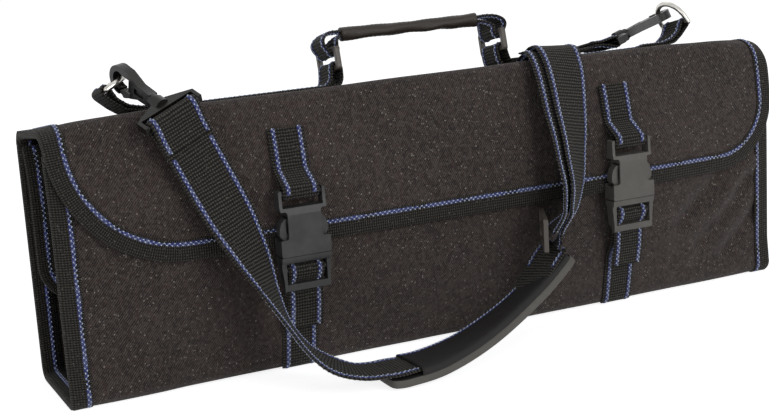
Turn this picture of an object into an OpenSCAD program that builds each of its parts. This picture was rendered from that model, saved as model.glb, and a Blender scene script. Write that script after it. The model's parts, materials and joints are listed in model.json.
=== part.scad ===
/* [Case] */
// Length of the case, left to right
case_l = 510; // [420:5:620]
// Depth of the case at its foot
case_d = 76; // [60:1:100]
// Height of the case at its front ridge
case_h = 172; // [150:1:200]
// How far the soft front bulges out at mid height
front_bulge = 10; // [6:1:13]
// How far the front ridge droops at both ends
end_droop = 5; // [0:0.5:7]
// Share of the height over which the front bulges before it leans back, in percent
bulge_share = 84; // [79:0.5:87]
// Slope of the top, falling towards the back, in degrees
top_slope = 13.6; // [10:0.2:15]
// Thickness of a padded board panel
panel_t = 3.5; // [2.5:0.1:4.5]
// Radius of the front ridge, where the top turns into the flap
ridge_r = 8; // [6:0.5:10]
// Radius of the fold at the top of the back
back_r = 5; // [4.6:0.2:6.5]
// Radius of the two bottom corners
foot_r = 8; // [6:0.5:10]
// Height of the flap's lower edge above the ground
flap_z = 82; // [81:0.5:86]
// Radius of the flap's lower left corner
flap_r_left = 64; // [40:1:72]
// Radius of the flap's lower right corner
flap_r_right = 48; // [30:1:60]

/* [Binding and webbing] */
// Width of the binding tape on each face
tape_w = 12; // [8:0.5:14]
// Thickness of the binding tape
tape_t = 0.7; // [0.4:0.1:0.9]
// Width of the narrow webbing
web_w = 25; // [20:0.5:26]
// Thickness of the narrow webbing
web_t = 1.4; // [1:0.1:1.6]
// Half the distance between the two buckles
buckle_x = 117.5; // [100:0.5:122]
// How far both buckles sit to the right of the middle
buckle_shift = 6; // [0:0.5:6]
// Top end of the buckle's upper webbing
upper_z = 152; // [146:1:156]

/* [Buckle] */
// Width of the socket's mouth
mouth_w = 32; // [31:0.5:35]
// Width of the socket's neck between its side windows
neck_w = 21.5; // [19:0.5:23]
// Width of the socket's bar frame
bar_frame_w = 30; // [29.5:0.5:33]
// Thickness of the socket
socket_t = 11; // [10:0.5:13]
// Height of the socket
socket_h = 40; // [39:0.5:44]
// Height of the plug's frame below the socket
plug_h = 22; // [21:0.5:24]
// Thickness of the plug's frame
plug_t = 7; // [6:0.5:8]

/* [Handle and rings] */
// Distance of each handle ring from the middle of the case
ring_x = 60; // [58:1:66]
// Length of the grip
grip_l = 100; // [80:1:104]
// Radius of the grip at its ends
grip_r = 4.8; // [4.2:0.1:6]
// Height of the grip's axis above the top panel
grip_n = 34; // [31:0.5:38]
// Distance of each D-ring from the middle of the case
dring_x = 209; // [190:1:225]
// Radius of the D-ring's wire
wire_r = 1.75; // [1.4:0.05:2]
// Inner width of the D-ring
dring_w = 26; // [25.6:0.2:30]
// How far the left D-ring leans towards its hook, in degrees
dring_lean = 62; // [50:1:66]

/* [Shoulder strap] */
// Width of the shoulder strap
strap_w = 34; // [30:0.5:36]
// Thickness of the shoulder strap
strap_t = 1.5; // [1:0.1:1.8]
// Length of a snap hook from its eye to its strap bar
hook_l = 48.5; // [47:0.5:52]
// Thickness of a snap hook
hook_t = 6; // [5:0.5:7]
// Width of the shoulder pad
pad_w = 37; // [36:1:42]
// Thickness of the shoulder pad
pad_t = 6; // [4:0.5:7]

/* [Inside] */
// Room between the knife pockets and the top of the case
pocket_room = 52; // [44:1:70]
// Number of lengthwise knife channels
channels = 4; // [3:1:5]
// Depth of a knife channel
channel_d = 7; // [5:0.5:9]

/* [Hidden] */
$fn = 32;
gap = 0.4;
fit = 0.1;
half_l = case_l / 2;
half_d = case_d / 2;
flap_off = 2 * tape_t + gap + panel_t;
shoulder_a = 20;

// Clear names for the outline of the case, seen from its left end as [depth, height]
// The bulge fades and the ridge droops towards both ends of the case
web_x = buckle_x - buckle_shift - web_w / 2;
bulge_h = case_h * bulge_share / 100;
pocket_h = case_h - pocket_room;
lean_z = case_h * 0.56;
lean_k = 0.258 / case_h;
function fade(x) = 1 - pow(min(abs(x) / half_l, 1), 3);
function droop(x) = end_droop * pow(min(abs(x) / half_l, 1), 5);
function front_y(z, x = web_x) = -half_d
    - 4 * front_bulge * fade(x) * (z / bulge_h) * (1 - z / bulge_h)
    + (1 - fade(x)) * lean_k * pow(max(z - lean_z, 0), 2);
function flap_y(z, x = web_x) = front_y(z, x) - flap_off;
function arc(c, r, a, b, n = 6) =
    [for (i = [0 : n]) c + r * [cos(a + (b - a) * i / n), sin(a + (b - a) * i / n)]];
function unit(v) = v / norm(v);
function seg(p, i) = unit(p[i + 1] - p[i]);
function left_of(p, i) =
    let (n = len(p) - 1,
         a = i > 0 ? seg(p, i - 1) : 1.5 * seg(p, 0) - 0.5 * seg(p, 1),
         b = i < n ? seg(p, i) : 1.5 * seg(p, n - 1) - 0.5 * seg(p, n - 2),
         d = unit(i == 0 ? a : i == n ? b : a + b),
         k = i == 0 || i == n ? 1 : 1 / (d * a))
    [-d[1], d[0]] * k;
// A closed outline that follows a path, from one offset on its outer side to another
function sheet(p, out, in) = concat(
    [for (i = [0 : len(p) - 1]) p[i] + out * left_of(p, i)],
    [for (i = [len(p) - 1 : -1 : 0]) p[i] + in * left_of(p, i)]);
function ribbon(p, t) = sheet(p, t / 2, -t / 2);
function turned(p, c, s) = [for (q = p) c + [s * q[0], q[1]]];

// Corners and folds
foot_c = [-half_d + foot_r - 2, foot_r];
heel_c = [half_d - foot_r, foot_r];
ridge_cz = case_h - ridge_r;
function shoulder(x) = shoulder_a - 9 * (1 - fade(x));
function ridge_at(x) = [flap_y(ridge_cz - droop(x) + ridge_r * sin(shoulder(x)), x)
    + ridge_r * cos(shoulder(x)), ridge_cz - droop(x)];
ridge_c = ridge_at(0);
back_cy = half_d - back_r;
back_cz = ridge_cz
    + (ridge_r - back_r - (back_cy - ridge_c[0]) * sin(top_slope)) / cos(top_slope);
back_c = [back_cy, back_cz];
ridge_fold_a = 112;
back_fold_a = 38;
function front_top(x) = ridge_cz - droop(x) - panel_t - 1;
top_start = ridge_c + ridge_r * [cos(90 - top_slope), sin(90 - top_slope)];
top_z0 = top_start[1] + top_start[0] * tan(top_slope);
ridge_gap_a = gap / (ridge_r - panel_t) * 57.3 / 2;
back_gap_a = gap / (back_r - panel_t) * 57.3 / 2;
hinge_r = back_r + tape_t + 0.5;
hinge = back_c + hinge_r * [cos(back_fold_a), sin(back_fold_a)];

function front_zs(x) = [for (i = [1 : 9]) foot_r + (front_top(x) - foot_r) * i / 9];
function front_face(x) = [for (z = front_zs(x)) [front_y(z, x), z]];
function front_path(x) = concat([[foot_c[0] + 1, 0]], arc(foot_c, foot_r, 270, 186), front_face(x));
function front_tape_path(x) = concat(arc(foot_c, foot_r, 232, 186), front_face(x));
function flap_top(x) = ridge_at(x)[1] + ridge_r * sin(shoulder(x));
function flap_path(x) = let (low = flap_z - 4, n = 9) concat(
    [for (i = [0 : n - 1]) let (z = low + (flap_top(x) - low) * i / n) [flap_y(z, x), z]],
    arc(ridge_at(x), ridge_r, 180 - shoulder(x), ridge_fold_a + ridge_gap_a));
function top_a(x) = let (d = back_c - ridge_at(x))
    atan2(d[1], d[0]) + acos((ridge_r - back_r) / norm(d));
function top_path(x) = concat(arc(ridge_at(x), ridge_r, ridge_fold_a - ridge_gap_a, top_a(x)),
    arc(back_c, back_r, top_a(x), back_fold_a + back_gap_a));
back_path = concat(arc(back_c, back_r, back_fold_a - back_gap_a, 0),
    arc(heel_c, foot_r, 0, -90), [[heel_c[0] - 1, 0]]);
back_tape_path = concat(arc(back_c, back_r, back_fold_a - back_gap_a - 1, 0),
    arc(heel_c, foot_r, 0, -52));

// Buckle
buckle_back = flap_y(flap_z + 5) - tape_t - 2 * gap;
buckle_y = buckle_back - socket_t / 2;
mouth_z = flap_z - 4.5;
socket_top = mouth_z + socket_h;
plug_top = mouth_z - gap;
plug_bot = plug_top - plug_h;
bar_r = 2;
socket_bar_z = socket_top - bar_r - 0.6;
plug_bar_z = plug_top - 9;
wrap_r = bar_r + 0.35 + web_t / 2;
wall = 1.8;
cavity_w = mouth_w - 2 * wall;
arm_x = 8.5;
arm_root = plug_top + 1.2;

// Rings, in the frame that lies on the top panel
tab_n = 12;
ring_bar = 3.4;
ring_open = 8;
ring_h = ring_open + 2 * ring_bar;
ring_up_n = tab_n + ring_open + ring_bar;
dring_n = 15;
dring_leg = 3;
dring_arc = dring_w / 2 + wire_r;
dtab_r = wire_r + 0.4 + web_t / 2;
rtab_r = ring_bar * 0.71 + 0.35 + web_t / 2;

// Snap hook, measured from its eye down to its strap bar
eye_r = 5.4;
hook_arm = 3.6;
hook_body = 30;
swivel_r = 3.2;
bar_gap = 0.4;
hook_bar_w = strap_w + 2;
hook_loop_r = 2 + bar_gap + strap_t / 2;

module along_x(x0, x1) {
    translate([x0, 0, 0]) rotate([90, 0, 90]) linear_extrude(x1 - x0) children();
}
module along_y(y0, y1) {
    translate([0, y1, 0]) rotate([90, 0, 0]) linear_extrude(y1 - y0) children();
}
// The frame that lies on the sloping top: its z is the height above the top panel
module on_top() {
    translate([0, 0, top_z0]) rotate([-top_slope, 0, 0]) children();
}
module slab(p, out, in, x0, x1) {
    along_x(x0, x1) polygon(sheet(p, out, in));
}
// A sheet whose side view changes along the case: rows of [x, path]
module loft(rows, out, in) {
    n = 2 * len(rows[0][1]);
    k = len(rows) - 1;
    pts = [for (r = rows) each [for (q = sheet(r[1], out, in)) [r[0], q[0], q[1]]]];
    sides = [for (i = [0 : k - 1], j = [0 : n - 1]) each [
        [i * n + j, i * n + (j + 1) % n, (i + 1) * n + j],
        [i * n + (j + 1) % n, (i + 1) * n + (j + 1) % n, (i + 1) * n + j]]];
    ends = [for (j = [0 : n / 2 - 2]) each [
        [j + 1, j, n - 1 - j], [j + 1, n - 1 - j, n - 2 - j],
        [k * n + j, k * n + j + 1, k * n + n - 1 - j],
        [k * n + j + 1, k * n + n - 2 - j, k * n + n - 1 - j]]];
    polyhedron(pts, concat(sides, ends));
}
spread = [-0.96, -0.86, -0.7, -0.45, 0, 0.45, 0.7, 0.86, 0.96];
function stations(e) = concat([-half_l - e], spread * half_l, [half_l + e]);
function end_stations(s) = s < 0 ? [-half_l - tape_t, -0.96 * half_l, -half_l + tape_w]
    : [half_l - tape_w, 0.96 * half_l, half_l + tape_t];

// Panels
module back_panel() {
    color("#2f2a27") slab(back_path, 0, -panel_t, -half_l, half_l);
}
module bottom_panel() {
    color("#2f2a27") along_x(-half_l, half_l)
        translate([foot_c[0] + 1 + fit, 0])
            square([heel_c[0] - foot_c[0] - 2 - 2 * fit, panel_t]);
}
module front_panel() {
    color("#2f2a27") loft([for (x = stations(0)) [x, front_path(x)]], 0, -panel_t);
}
module top_panel() {
    color("#2f2a27") loft([for (x = stations(0)) [x, top_path(x)]], 0, -panel_t);
}
// Tape folded round both ends of a panel
module end_tapes(path, panel) {
    for (s = [-1, 1]) difference() {
        slab(path, tape_t, -panel_t - tape_t,
            s < 0 ? -half_l - tape_t : half_l - tape_w, s < 0 ? -half_l + tape_w : half_l + tape_t);
        slab(panel, fit, -panel_t - fit, -half_l - fit, half_l + fit);
    }
}
module back_binding() {
    color("#24211f") end_tapes(back_tape_path, back_path);
}
module front_binding() {
    color("#24211f") for (s = [-1, 1]) difference() {
        loft([for (x = end_stations(s)) [x, front_tape_path(x)]], tape_t, -panel_t - tape_t);
        loft([for (x = stations(fit)) [x, front_path(x)]], fit, -panel_t - fit);
    }
}
module top_binding() {
    color("#24211f") for (s = [-1, 1]) difference() {
        loft([for (x = end_stations(s)) [x, top_path(x)]], tape_t, -panel_t - tape_t);
        loft([for (x = stations(fit)) [x, top_path(x)]], fit, -panel_t - fit);
    }
}

// The flap's outline seen from the front, drawn in by a margin
module flap_outline(m) {
    x = half_l + tape_t - m;
    right = flap_r_right - m;
    left = flap_r_left - m;
    polygon(concat([[x, case_h + 20]],
        arc([x - right, flap_z + flap_r_right], right, 0, -90, 8),
        arc([-x + left, flap_z + flap_r_left], left, -90, -180, 8),
        [[-x, case_h + 20]]));
}
module flap_panel() {
    color("#2f2a27") intersection() {
        loft([for (x = stations(0)) [x, flap_path(x)]], 0, -panel_t);
        along_y(-case_d, 0) flap_outline(tape_t);
    }
}
module flap_binding() {
    color("#24211f") difference() {
        intersection() {
            loft([for (x = stations(tape_t)) [x, flap_path(x)]], tape_t, -panel_t - tape_t);
            along_y(-case_d, 0) flap_outline(0);
        }
        along_y(-case_d, 0) flap_outline(tape_w);
        intersection() {
            loft([for (x = stations(fit)) [x, flap_path(x)]], fit, -panel_t - fit);
            along_y(-case_d, 0) flap_outline(tape_t - fit);
        }
    }
}

// Inside: knife channels, elastic and the leaf that covers the blades
pocket_z = 16;
leaf_t = 2.4;
leaf_path = [[back_cy + back_r - panel_t - gap - leaf_t / 2 - 1.5, back_cz - 3],
    [half_d - 13.4, case_h - 40], [half_d - 15, case_h - 54], [half_d - 15, 52]];
leaf_hinge = leaf_path[0];
module pocket_sheet(y, s) {
    pitch = pocket_h / channels;
    w = case_l - 2 * tape_w - 20;
    for (i = [0 : channels - 1]) translate([-w / 2, 0, pocket_z + i * pitch])
        rotate([90, 0, 90]) linear_extrude(w * 0.45) difference() {
            polygon([[y, 1], [y + s * channel_d * 0.7, 3], [y + s * channel_d, pitch / 2],
                [y + s * channel_d * 0.7, pitch - 3], [y, pitch - 1]]);
            polygon([[y, 3], [y + s * (channel_d * 0.7 - 1.2), 4.4],
                [y + s * (channel_d - 1.2), pitch / 2],
                [y + s * (channel_d * 0.7 - 1.2), pitch - 4.4], [y, pitch - 3]]);
        }
}
module pocket_panel() {
    color("#1f1d1c") union() {
        pocket_sheet(half_d - panel_t - 1, -1);
        translate([-half_l + tape_w + 6, half_d - panel_t - 1, pocket_z])
            cube([case_l - 2 * tape_w - 12, 1, pocket_h]);
    }
}
module elastic_band() {
    n = channels;
    pitch = pocket_h / n;
    color("#151515") translate([half_l * 0.42, half_d - panel_t - 1 - fit, pocket_z])
        for (i = [0 : n - 1]) translate([0, 0, i * pitch]) rotate([90, 0, 90])
            linear_extrude(38) polygon(sheet([[-0.9, 1], [-channel_d * 0.6, pitch * 0.3],
                [-channel_d * 0.6, pitch * 0.7], [-0.9, pitch - 1]], 0.45, -0.45));
}
module leaf_outline(m) {
    x = half_l - 1 - m;
    r = 24 - m;
    z = leaf_path[3][1] + m;
    polygon(concat([[x, case_h]], arc([x - r, z + r], r, 0, -90, 8),
        arc([-x + r, z + r], r, -90, -180, 8), [[-x, case_h]]));
}
module inner_leaf() {
    color("#2a2624") intersection() {
        slab(leaf_path, leaf_t / 2, -leaf_t / 2, -half_l, half_l);
        along_y(0, case_d) leaf_outline(tape_t);
    }
}
module leaf_binding() {
    color("#24211f") difference() {
        intersection() {
            slab(leaf_path, leaf_t / 2 + tape_t, -leaf_t / 2 - tape_t, -half_l, half_l);
            along_y(0, case_d) leaf_outline(0);
        }
        along_y(0, case_d) leaf_outline(tape_w);
        intersection() {
            slab(leaf_path, leaf_t / 2 + fit, -leaf_t / 2 - fit, -half_l, half_l);
            along_y(0, case_d) leaf_outline(tape_t - fit);
        }
    }
}
module front_pocket() {
    x = half_l - tape_w - 6;
    zs = [for (i = [0 : 6]) 20 + (pocket_h - 8) * i / 6];
    xs = concat([-x], [for (u = spread) if (abs(u) < 0.9) u * half_l], [x]);
    color("#1f1d1c") loft([for (q = xs) [q, [for (z = zs) [front_y(z, q) + panel_t, z]]]], -0.5, -1.8);
}

// Webbing of one buckle, seen from the side
function upper_path() =
    let (zl = [for (i = [0 : 3]) upper_z - 6 - i * (upper_z - 6 - socket_top - 9) / 3],
         zu = [for (i = [0 : 3]) socket_top + 10 + i * (upper_z - socket_top - 10) / 3])
    concat([for (z = zl) [flap_y(z) - web_t / 2 - 0.25, z]],
        [[buckle_y + wrap_r, socket_top + 1.5]],
        arc([buckle_y, socket_bar_z], wrap_r, 0, -180, 8),
        [[buckle_y - wrap_r, socket_top + 1.5]],
        [for (z = zu) [flap_y(z) - web_t * 1.5 - 0.35, z]]);
function lower_path() = concat(
    arc(foot_c, foot_r + web_t / 2 + 0.25, 232, 188, 4),
    [for (z = [16, 23, 30]) [front_y(z) - web_t / 2 - 0.25, z]],
    [[front_y(36) - 1.6, 37], [buckle_y + 6.9, 45], [buckle_y + 4.9, 53], [buckle_y + wrap_r + 0.6, 60]],
    arc([buckle_y, plug_bar_z], wrap_r, 0, 180, 8),
    [[buckle_y - wrap_r + 0.3, plug_bar_z - 2.2], [buckle_y - 0.7, plug_bar_z - 5.4],
     [buckle_y + 1.7, plug_bot + 4.6], [buckle_y + 2.1, plug_bot + 0.5], [buckle_y + 3.2, 44],
     [buckle_y + 5, 36], [buckle_y + 6.2, 30]]);
module upper_webbing(s) {
    x = buckle_shift + s * buckle_x;
    color("#1b1a1a") along_x(x - web_w / 2, x + web_w / 2) polygon(ribbon(upper_path(), web_t));
}
module lower_webbing(s) {
    x = buckle_shift + s * buckle_x;
    color("#1b1a1a") along_x(x - web_w / 2, x + web_w / 2) polygon(ribbon(lower_path(), web_t));
}

// Side-release buckle: the socket hangs on the flap, the plug on the front
module socket_outline() {
    offset(r = 1, $fn = 24) offset(r = -2.5, $fn = 24) offset(r = 1.5, $fn = 24) union() {
        translate([-mouth_w / 2, 0]) square([mouth_w, 10.5]);
        translate([-neck_w / 2, 0]) square([neck_w, 32]);
        translate([-bar_frame_w / 2, 27.5]) square([bar_frame_w, socket_h - 27.5]);
    }
}
module socket(s) {
    slot_h = socket_h - 29.5;
    color("#2b2b2a") translate([buckle_shift + s * buckle_x, buckle_y, mouth_z]) difference() {
        union() {
            intersection() {
                translate([0, socket_t / 2, 0]) rotate([90, 0, 0]) linear_extrude(socket_t)
                    socket_outline();
                along_x(-mouth_w, mouth_w) polygon([
                    [-socket_t / 2, 0], [-socket_t / 2, 25], [-3.6, 31], [-3.2, socket_h],
                    [3.2, socket_h], [3.6, 31], [socket_t / 2, 25], [socket_t / 2, 0]]);
            }
        }
        // Room for the plug's arms, open at the mouth and at both windows
        translate([-cavity_w / 2, -socket_t / 2 + wall, -1]) cube([cavity_w, socket_t - 2 * wall, 11.5]);
        translate([-mouth_w, -socket_t / 2 + wall, 9]) cube([2 * mouth_w, socket_t - 2 * wall, 15.5]);
        // Slot that lets the plug's guide out at the back
        translate([-5, 0, -1]) cube([10, socket_t, 16]);
        // Window for the webbing
        translate([-(web_w + 1) / 2, -socket_t, 29.5]) cube([web_w + 1, 2 * socket_t, slot_h + 1]);
    }
    color("#2b2b2a") translate([buckle_shift + s * buckle_x, buckle_y, socket_bar_z]) rotate([0, 90, 0])
        cylinder(r = bar_r, h = bar_frame_w - 2, center = true);
}
module plug(s) {
    w = bar_frame_w;
    win = web_w + 1;
    color("#2b2b2a") translate([buckle_shift + s * buckle_x, buckle_y, plug_bot]) {
        difference() {
            along_x(-mouth_w / 2, mouth_w / 2) polygon([
                [-plug_t / 2, 1], [-plug_t / 2, plug_h - 5], [-socket_t / 2 + 0.6, plug_h - 2.5],
                [-socket_t / 2 + 0.6, plug_h], [socket_t / 2 - 0.6, plug_h],
                [socket_t / 2 - 0.6, plug_h - 2.5], [plug_t / 2, plug_h - 5], [plug_t / 2, 5],
                [0.6, 4.2], [-1, 0]]);
            // Sides that draw in towards the lower bar
            for (m = [-1, 1]) translate([0, socket_t, 0]) rotate([90, 0, 0])
                linear_extrude(2 * socket_t) polygon([[m * w / 2, -1], [m * w / 2, 6],
                    [m * mouth_w / 2, plug_h - 6], [m * mouth_w, plug_h - 6], [m * mouth_w, -1]]);
            translate([-win / 2, -socket_t, 5]) cube([win, 2 * socket_t, plug_h - 9]);
            translate([-win / 2, 0.4, -1]) cube([win, socket_t, 7]);
        }
        translate([0, 0, plug_bar_z - plug_bot]) rotate([0, 90, 0])
            cylinder(r = bar_r, h = win + 1, center = true);
        // Short guide that keeps the plug straight in the mouth
        translate([-3.5, -2, plug_h]) cube([7, 4, 6]);
    }
}
// One springy arm with its thumb tab
module arm(s, m) {
    z = arm_root - plug_top;
    color("#2b2b2a") translate([buckle_shift + s * buckle_x, buckle_y, plug_top]) translate([0, 3, 0])
        rotate([90, 0, 0]) linear_extrude(6) scale([m, 1]) polygon([
            [arm_x - 1.6, gap / 2], [arm_x + 1.6, gap / 2], [arm_x + 1.5, 6], [arm_x + 2, 9.6],
            [arm_x + 5.6, 10.9], [mouth_w / 2 - 0.3, 13.4], [mouth_w / 2 - 0.4, 17],
            [mouth_w / 2 - 1.6, 21], [arm_x + 3.4, 23.6], [arm_x + 1.6, 23.6],
            [arm_x + 2.4, 20], [arm_x + 2.6, 15], [arm_x, 11.5], [arm_x - 1.4, 7]]);
}

// Webbing anchors on the top, each with a loop round its D-ring
function sink(x) = max(droop(x) * (back_cy - web_w / 2) / (back_cy - ridge_c[0]) - 2 * fit, 0);
function anchor_path() = concat(
    [[-36, web_t / 2], [-20, web_t / 2], [-11, 2.2], [-5, 6.4]],
    arc([0, dring_n], dtab_r, -45, 135, 8),
    [[-6.2, 9.2], [-12.5, 4.4], [-21, web_t * 1.5 + 0.2], [-37, web_t * 1.5 + 0.2],
     [-43, web_t / 2 + 0.1], [ring_x - dring_x + 15, web_t / 2 + 0.1]]);
module anchor(s) {
    color("#1b1a1a") on_top() translate([0, web_w / 2, 0]) rotate([90, 0, 0])
        linear_extrude(web_w) polygon(ribbon([for (q = turned(anchor_path(), [s * dring_x, 0], s))
            [q[0], q[1] - sink(q[0])]], web_t));
}
// The tab that holds a handle ring
function tab_path() = concat(
    [[13.6, web_t / 2 + 0.1], [8.4, web_t / 2 + 0.1], [4.6, 4.4], [rtab_r, tab_n - 2]],
    arc([0, tab_n], rtab_r, 0, 180, 8),
    [[-rtab_r, tab_n - 2], [-3, 4.4], [-1, web_t / 2 + 0.1], [5.4, web_t / 2 + 0.1]]);
module handle_tab(s) {
    color("#1b1a1a") on_top() translate([0, web_w / 2, 0]) rotate([90, 0, 0])
        linear_extrude(web_w) polygon(ribbon(turned(tab_path(), [s * ring_x, 0], s), web_t));
}
module handle_ring(s) {
    h = ring_h;
    w = web_w + 1.6 + 2 * ring_bar;
    color("#3a3a38") on_top() translate([s * ring_x, 0, tab_n - ring_bar / 2]) rotate([90, 0, 90])
        translate([0, 0, -ring_bar / 2]) linear_extrude(ring_bar) difference() {
            translate([0, h / 2]) offset(r = 2, $fn = 24) square([w - 4, h - 4], center = true);
            translate([0, h / 2]) square([w - 2 * ring_bar, ring_open], center = true);
        }
}
module handle_grip() {
    n = 8;
    half = grip_l / 2;
    body = [for (i = [0 : n]) let (u = 2 * i / n - 1) [grip_r - 0.9 * (1 - u * u), u * (half - 2)]];
    color("#1d1d1d") on_top() translate([0, 0, grip_n]) rotate([0, 90, 0]) rotate_extrude()
        polygon(concat([[0, -half], [grip_r - 1.4, -half]], body, [[grip_r - 1.4, half], [0, half]]));
}

// A flat strap swept through stations of [centre, width direction, width]
function spline(p, i, t) = let (n = len(p) - 1,
    a = p[max(i - 1, 0)], b = p[i], c = p[min(i + 1, n)], d = p[min(i + 2, n)])
    0.5 * (2 * b + (c - a) * t + (2 * a - 5 * b + 4 * c - d) * t * t
        + (3 * b - a - 3 * c + d) * t * t * t);
function smooth(p, k) = concat([for (i = [0 : len(p) - 2], j = [0 : k - 1]) spline(p, i, j / k)],
    [p[len(p) - 1]]);
function ring_of(p, w, wd, t, i, cut) =
    let (d = p[min(i + 1, len(p) - 1)] - p[max(i - 1, 0)],
         n = unit(cross(w[i], d)), v = cut ? unit(w[i]) : unit(cross(d, n)))
    [p[i] - v * wd[i] / 2 - n * t / 2, p[i] + v * wd[i] / 2 - n * t / 2,
     p[i] + v * wd[i] / 2 + n * t / 2, p[i] - v * wd[i] / 2 + n * t / 2];
module swept(stations, t, k, cut = false) {
    p = smooth([for (s = stations) s[0]], k);
    w = smooth([for (s = stations) s[1]], k);
    wd = smooth([for (s = stations) s[2]], k);
    n = len(p);
    pts = [for (i = [0 : n - 1]) each ring_of(p, w, wd, t, i, cut)];
    sides = [for (i = [0 : n - 2], j = [0 : 3]) each [
        [i * 4 + j, i * 4 + (j + 1) % 4, (i + 1) * 4 + j],
        [i * 4 + (j + 1) % 4, (i + 1) * 4 + (j + 1) % 4, (i + 1) * 4 + j]]];
    last = (n - 1) * 4;
    polyhedron(pts, concat(sides, [[2, 1, 0], [3, 2, 0]],
        [[last, last + 1, last + 2], [last, last + 2, last + 3]]));
}

grip_end = grip_l / 2 + 0.3 - ring_x;
handle_side = [
    [grip_end, grip_n - 1.5, 8], [grip_end + 3, grip_n - 1.7, 12], [-2, grip_n - 3.2, 19], [2, 29, web_w],
    [rtab_r - 5.6, ring_up_n + 2.6, web_w], [-rtab_r, ring_up_n, web_w],
    [-1.8, ring_up_n - rtab_r + 0.5, web_w], [1.8, ring_up_n - rtab_r + 0.5, web_w],
    [rtab_r, ring_up_n, web_w], [rtab_r + 1.4, ring_up_n + 3, web_w], [8.4, 30.4, web_w],
    [9.2, 33.4, 23], [5, 36.6, 19], [-3, grip_n + 2, 14],
    [grip_end, grip_n + 1.5, 9]];
function handle_stations(s) = [for (q = handle_side)
    [[s * (ring_x + q[0]), 0, q[1]], [0, 1, 0], q[2]]];
module handle_webbing(s) {
    color("#1b1a1a") on_top() swept(handle_stations(s), web_t, 3);
}

// D-rings: a straight bar, two short legs and half a ring
module dring_shape() {
    $fn = 18;
    rotate([0, 0, 90]) {
        rotate([0, 90, 0]) cylinder(r = wire_r, h = 2 * dring_arc, center = true);
        for (m = [-1, 1]) translate([m * dring_arc, 0, 0]) {
            cylinder(r = wire_r, h = dring_leg);
            sphere(r = wire_r);
        }
        translate([0, 0, dring_leg]) rotate([90, 0, 0]) rotate_extrude(angle = 180)
            translate([dring_arc, 0]) circle(r = wire_r);
    }
}
module dring(s, lean) {
    color("#c9c6be") on_top() translate([s * dring_x, 0, dring_n - sink(dring_x)])
        rotate([0, lean, 0]) dring_shape();
}

// Swivel snap hook. Its eye is at the origin and its strap bar hangs below
module hook_shape() {
    out = eye_r + hook_arm;
    difference() {
        union() {
            translate([0, hook_t / 2, 0]) rotate([90, 0, 0]) linear_extrude(hook_t) difference() {
                union() {
                    circle(r = out);
                    polygon([[-out, 0], [-out + 0.4, -8], [-4.4, -19], [-4, -hook_body],
                        [4, -hook_body], [4.4, -19], [out - 0.4, -8], [out, 0]]);
                }
                circle(r = eye_r);
                translate([-eye_r + 1, -10]) square([2 * eye_r - 2, 10]);
                // Gap that the gate closes
                translate([eye_r - 2, -11.6]) square([hook_arm + 4, 10.6]);
            }
            translate([0, 0, -hook_body - 3]) cylinder(r = 4.2, h = 3.2);
        }
        // Shallow hollow in each face of the stem
        for (m = [-1, 1]) translate([0, m * hook_t / 2, -20]) cube([3.6, 2.4, 9], center = true);
    }
}
module gate_shape() {
    translate([0, hook_t / 2 - 0.6, 0]) rotate([90, 0, 0]) linear_extrude(hook_t - 1.2) polygon([
        [eye_r - 0.6, -11.2], [eye_r + 2, -11.2], [eye_r + hook_arm + 0.2, -7.4],
        [eye_r + hook_arm + 1.2, -4.8], [eye_r + hook_arm - 0.2, -3],
        [eye_r + hook_arm - 0.4, -1.4], [eye_r + 0.8, -1.4], [eye_r - 0.6, -5]]);
}
module swivel_shape() {
    top = -hook_body - 3 - gap;
    w = hook_bar_w / 2 + 2.4;
    translate([0, 0, -hook_l + 9]) cylinder(r = 5, h = hook_l - 9 + top);
    difference() {
        translate([0, 2.4, 0]) rotate([90, 0, 0]) linear_extrude(4.8) difference() {
            polygon([[-5, -hook_l + 13], [-w, -hook_l + 6.4], [-w, -hook_l - 2], [w, -hook_l - 2],
                [w, -hook_l + 6.4], [5, -hook_l + 13]]);
            translate([-hook_bar_w / 2, -hook_l - 3]) square([hook_bar_w, 8.4]);
        }
    }
    translate([0, 0, -hook_l]) rotate([0, 90, 0])
        cylinder(r = 2, h = hook_bar_w + 1, center = true);
}
// Where each hook hangs: its eye lies round the D-ring's wire
function on_top_point(p) = [p[0], p[1] * cos(top_slope) + p[2] * sin(top_slope),
    top_z0 - p[1] * sin(top_slope) + p[2] * cos(top_slope)];
function wire_point(s, lean, a) =
    let (h = dring_leg + dring_arc * cos(a))
    on_top_point([s * dring_x + h * sin(lean), dring_arc * sin(a),
        dring_n - sink(dring_x) + h * cos(lean)]);
seat = 3.3;
hook_reach = hook_l + eye_r - wire_r - seat;
left_wire = wire_point(-1, dring_lean, -50);
left_axis = unit([left_wire[0] + 16.2, ridge_c[0] - 20.4, ridge_cz + 5.4] - left_wire);
left_bar = left_wire + hook_reach * left_axis;
left_hang = unit([12.5, -3, -29]);
left_side = -[0.79, 0.57, 0.24];
right_lean = -28;
right_side = [sin(right_lean), sin(top_slope) * cos(right_lean), cos(top_slope) * cos(right_lean)];
right_wire = wire_point(1, right_lean, 62) - 0.5 * right_side;
right_axis = unit(on_top_point([150, 15, 5.8]) - right_wire);
right_bar = right_wire + hook_reach * right_axis;
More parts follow.
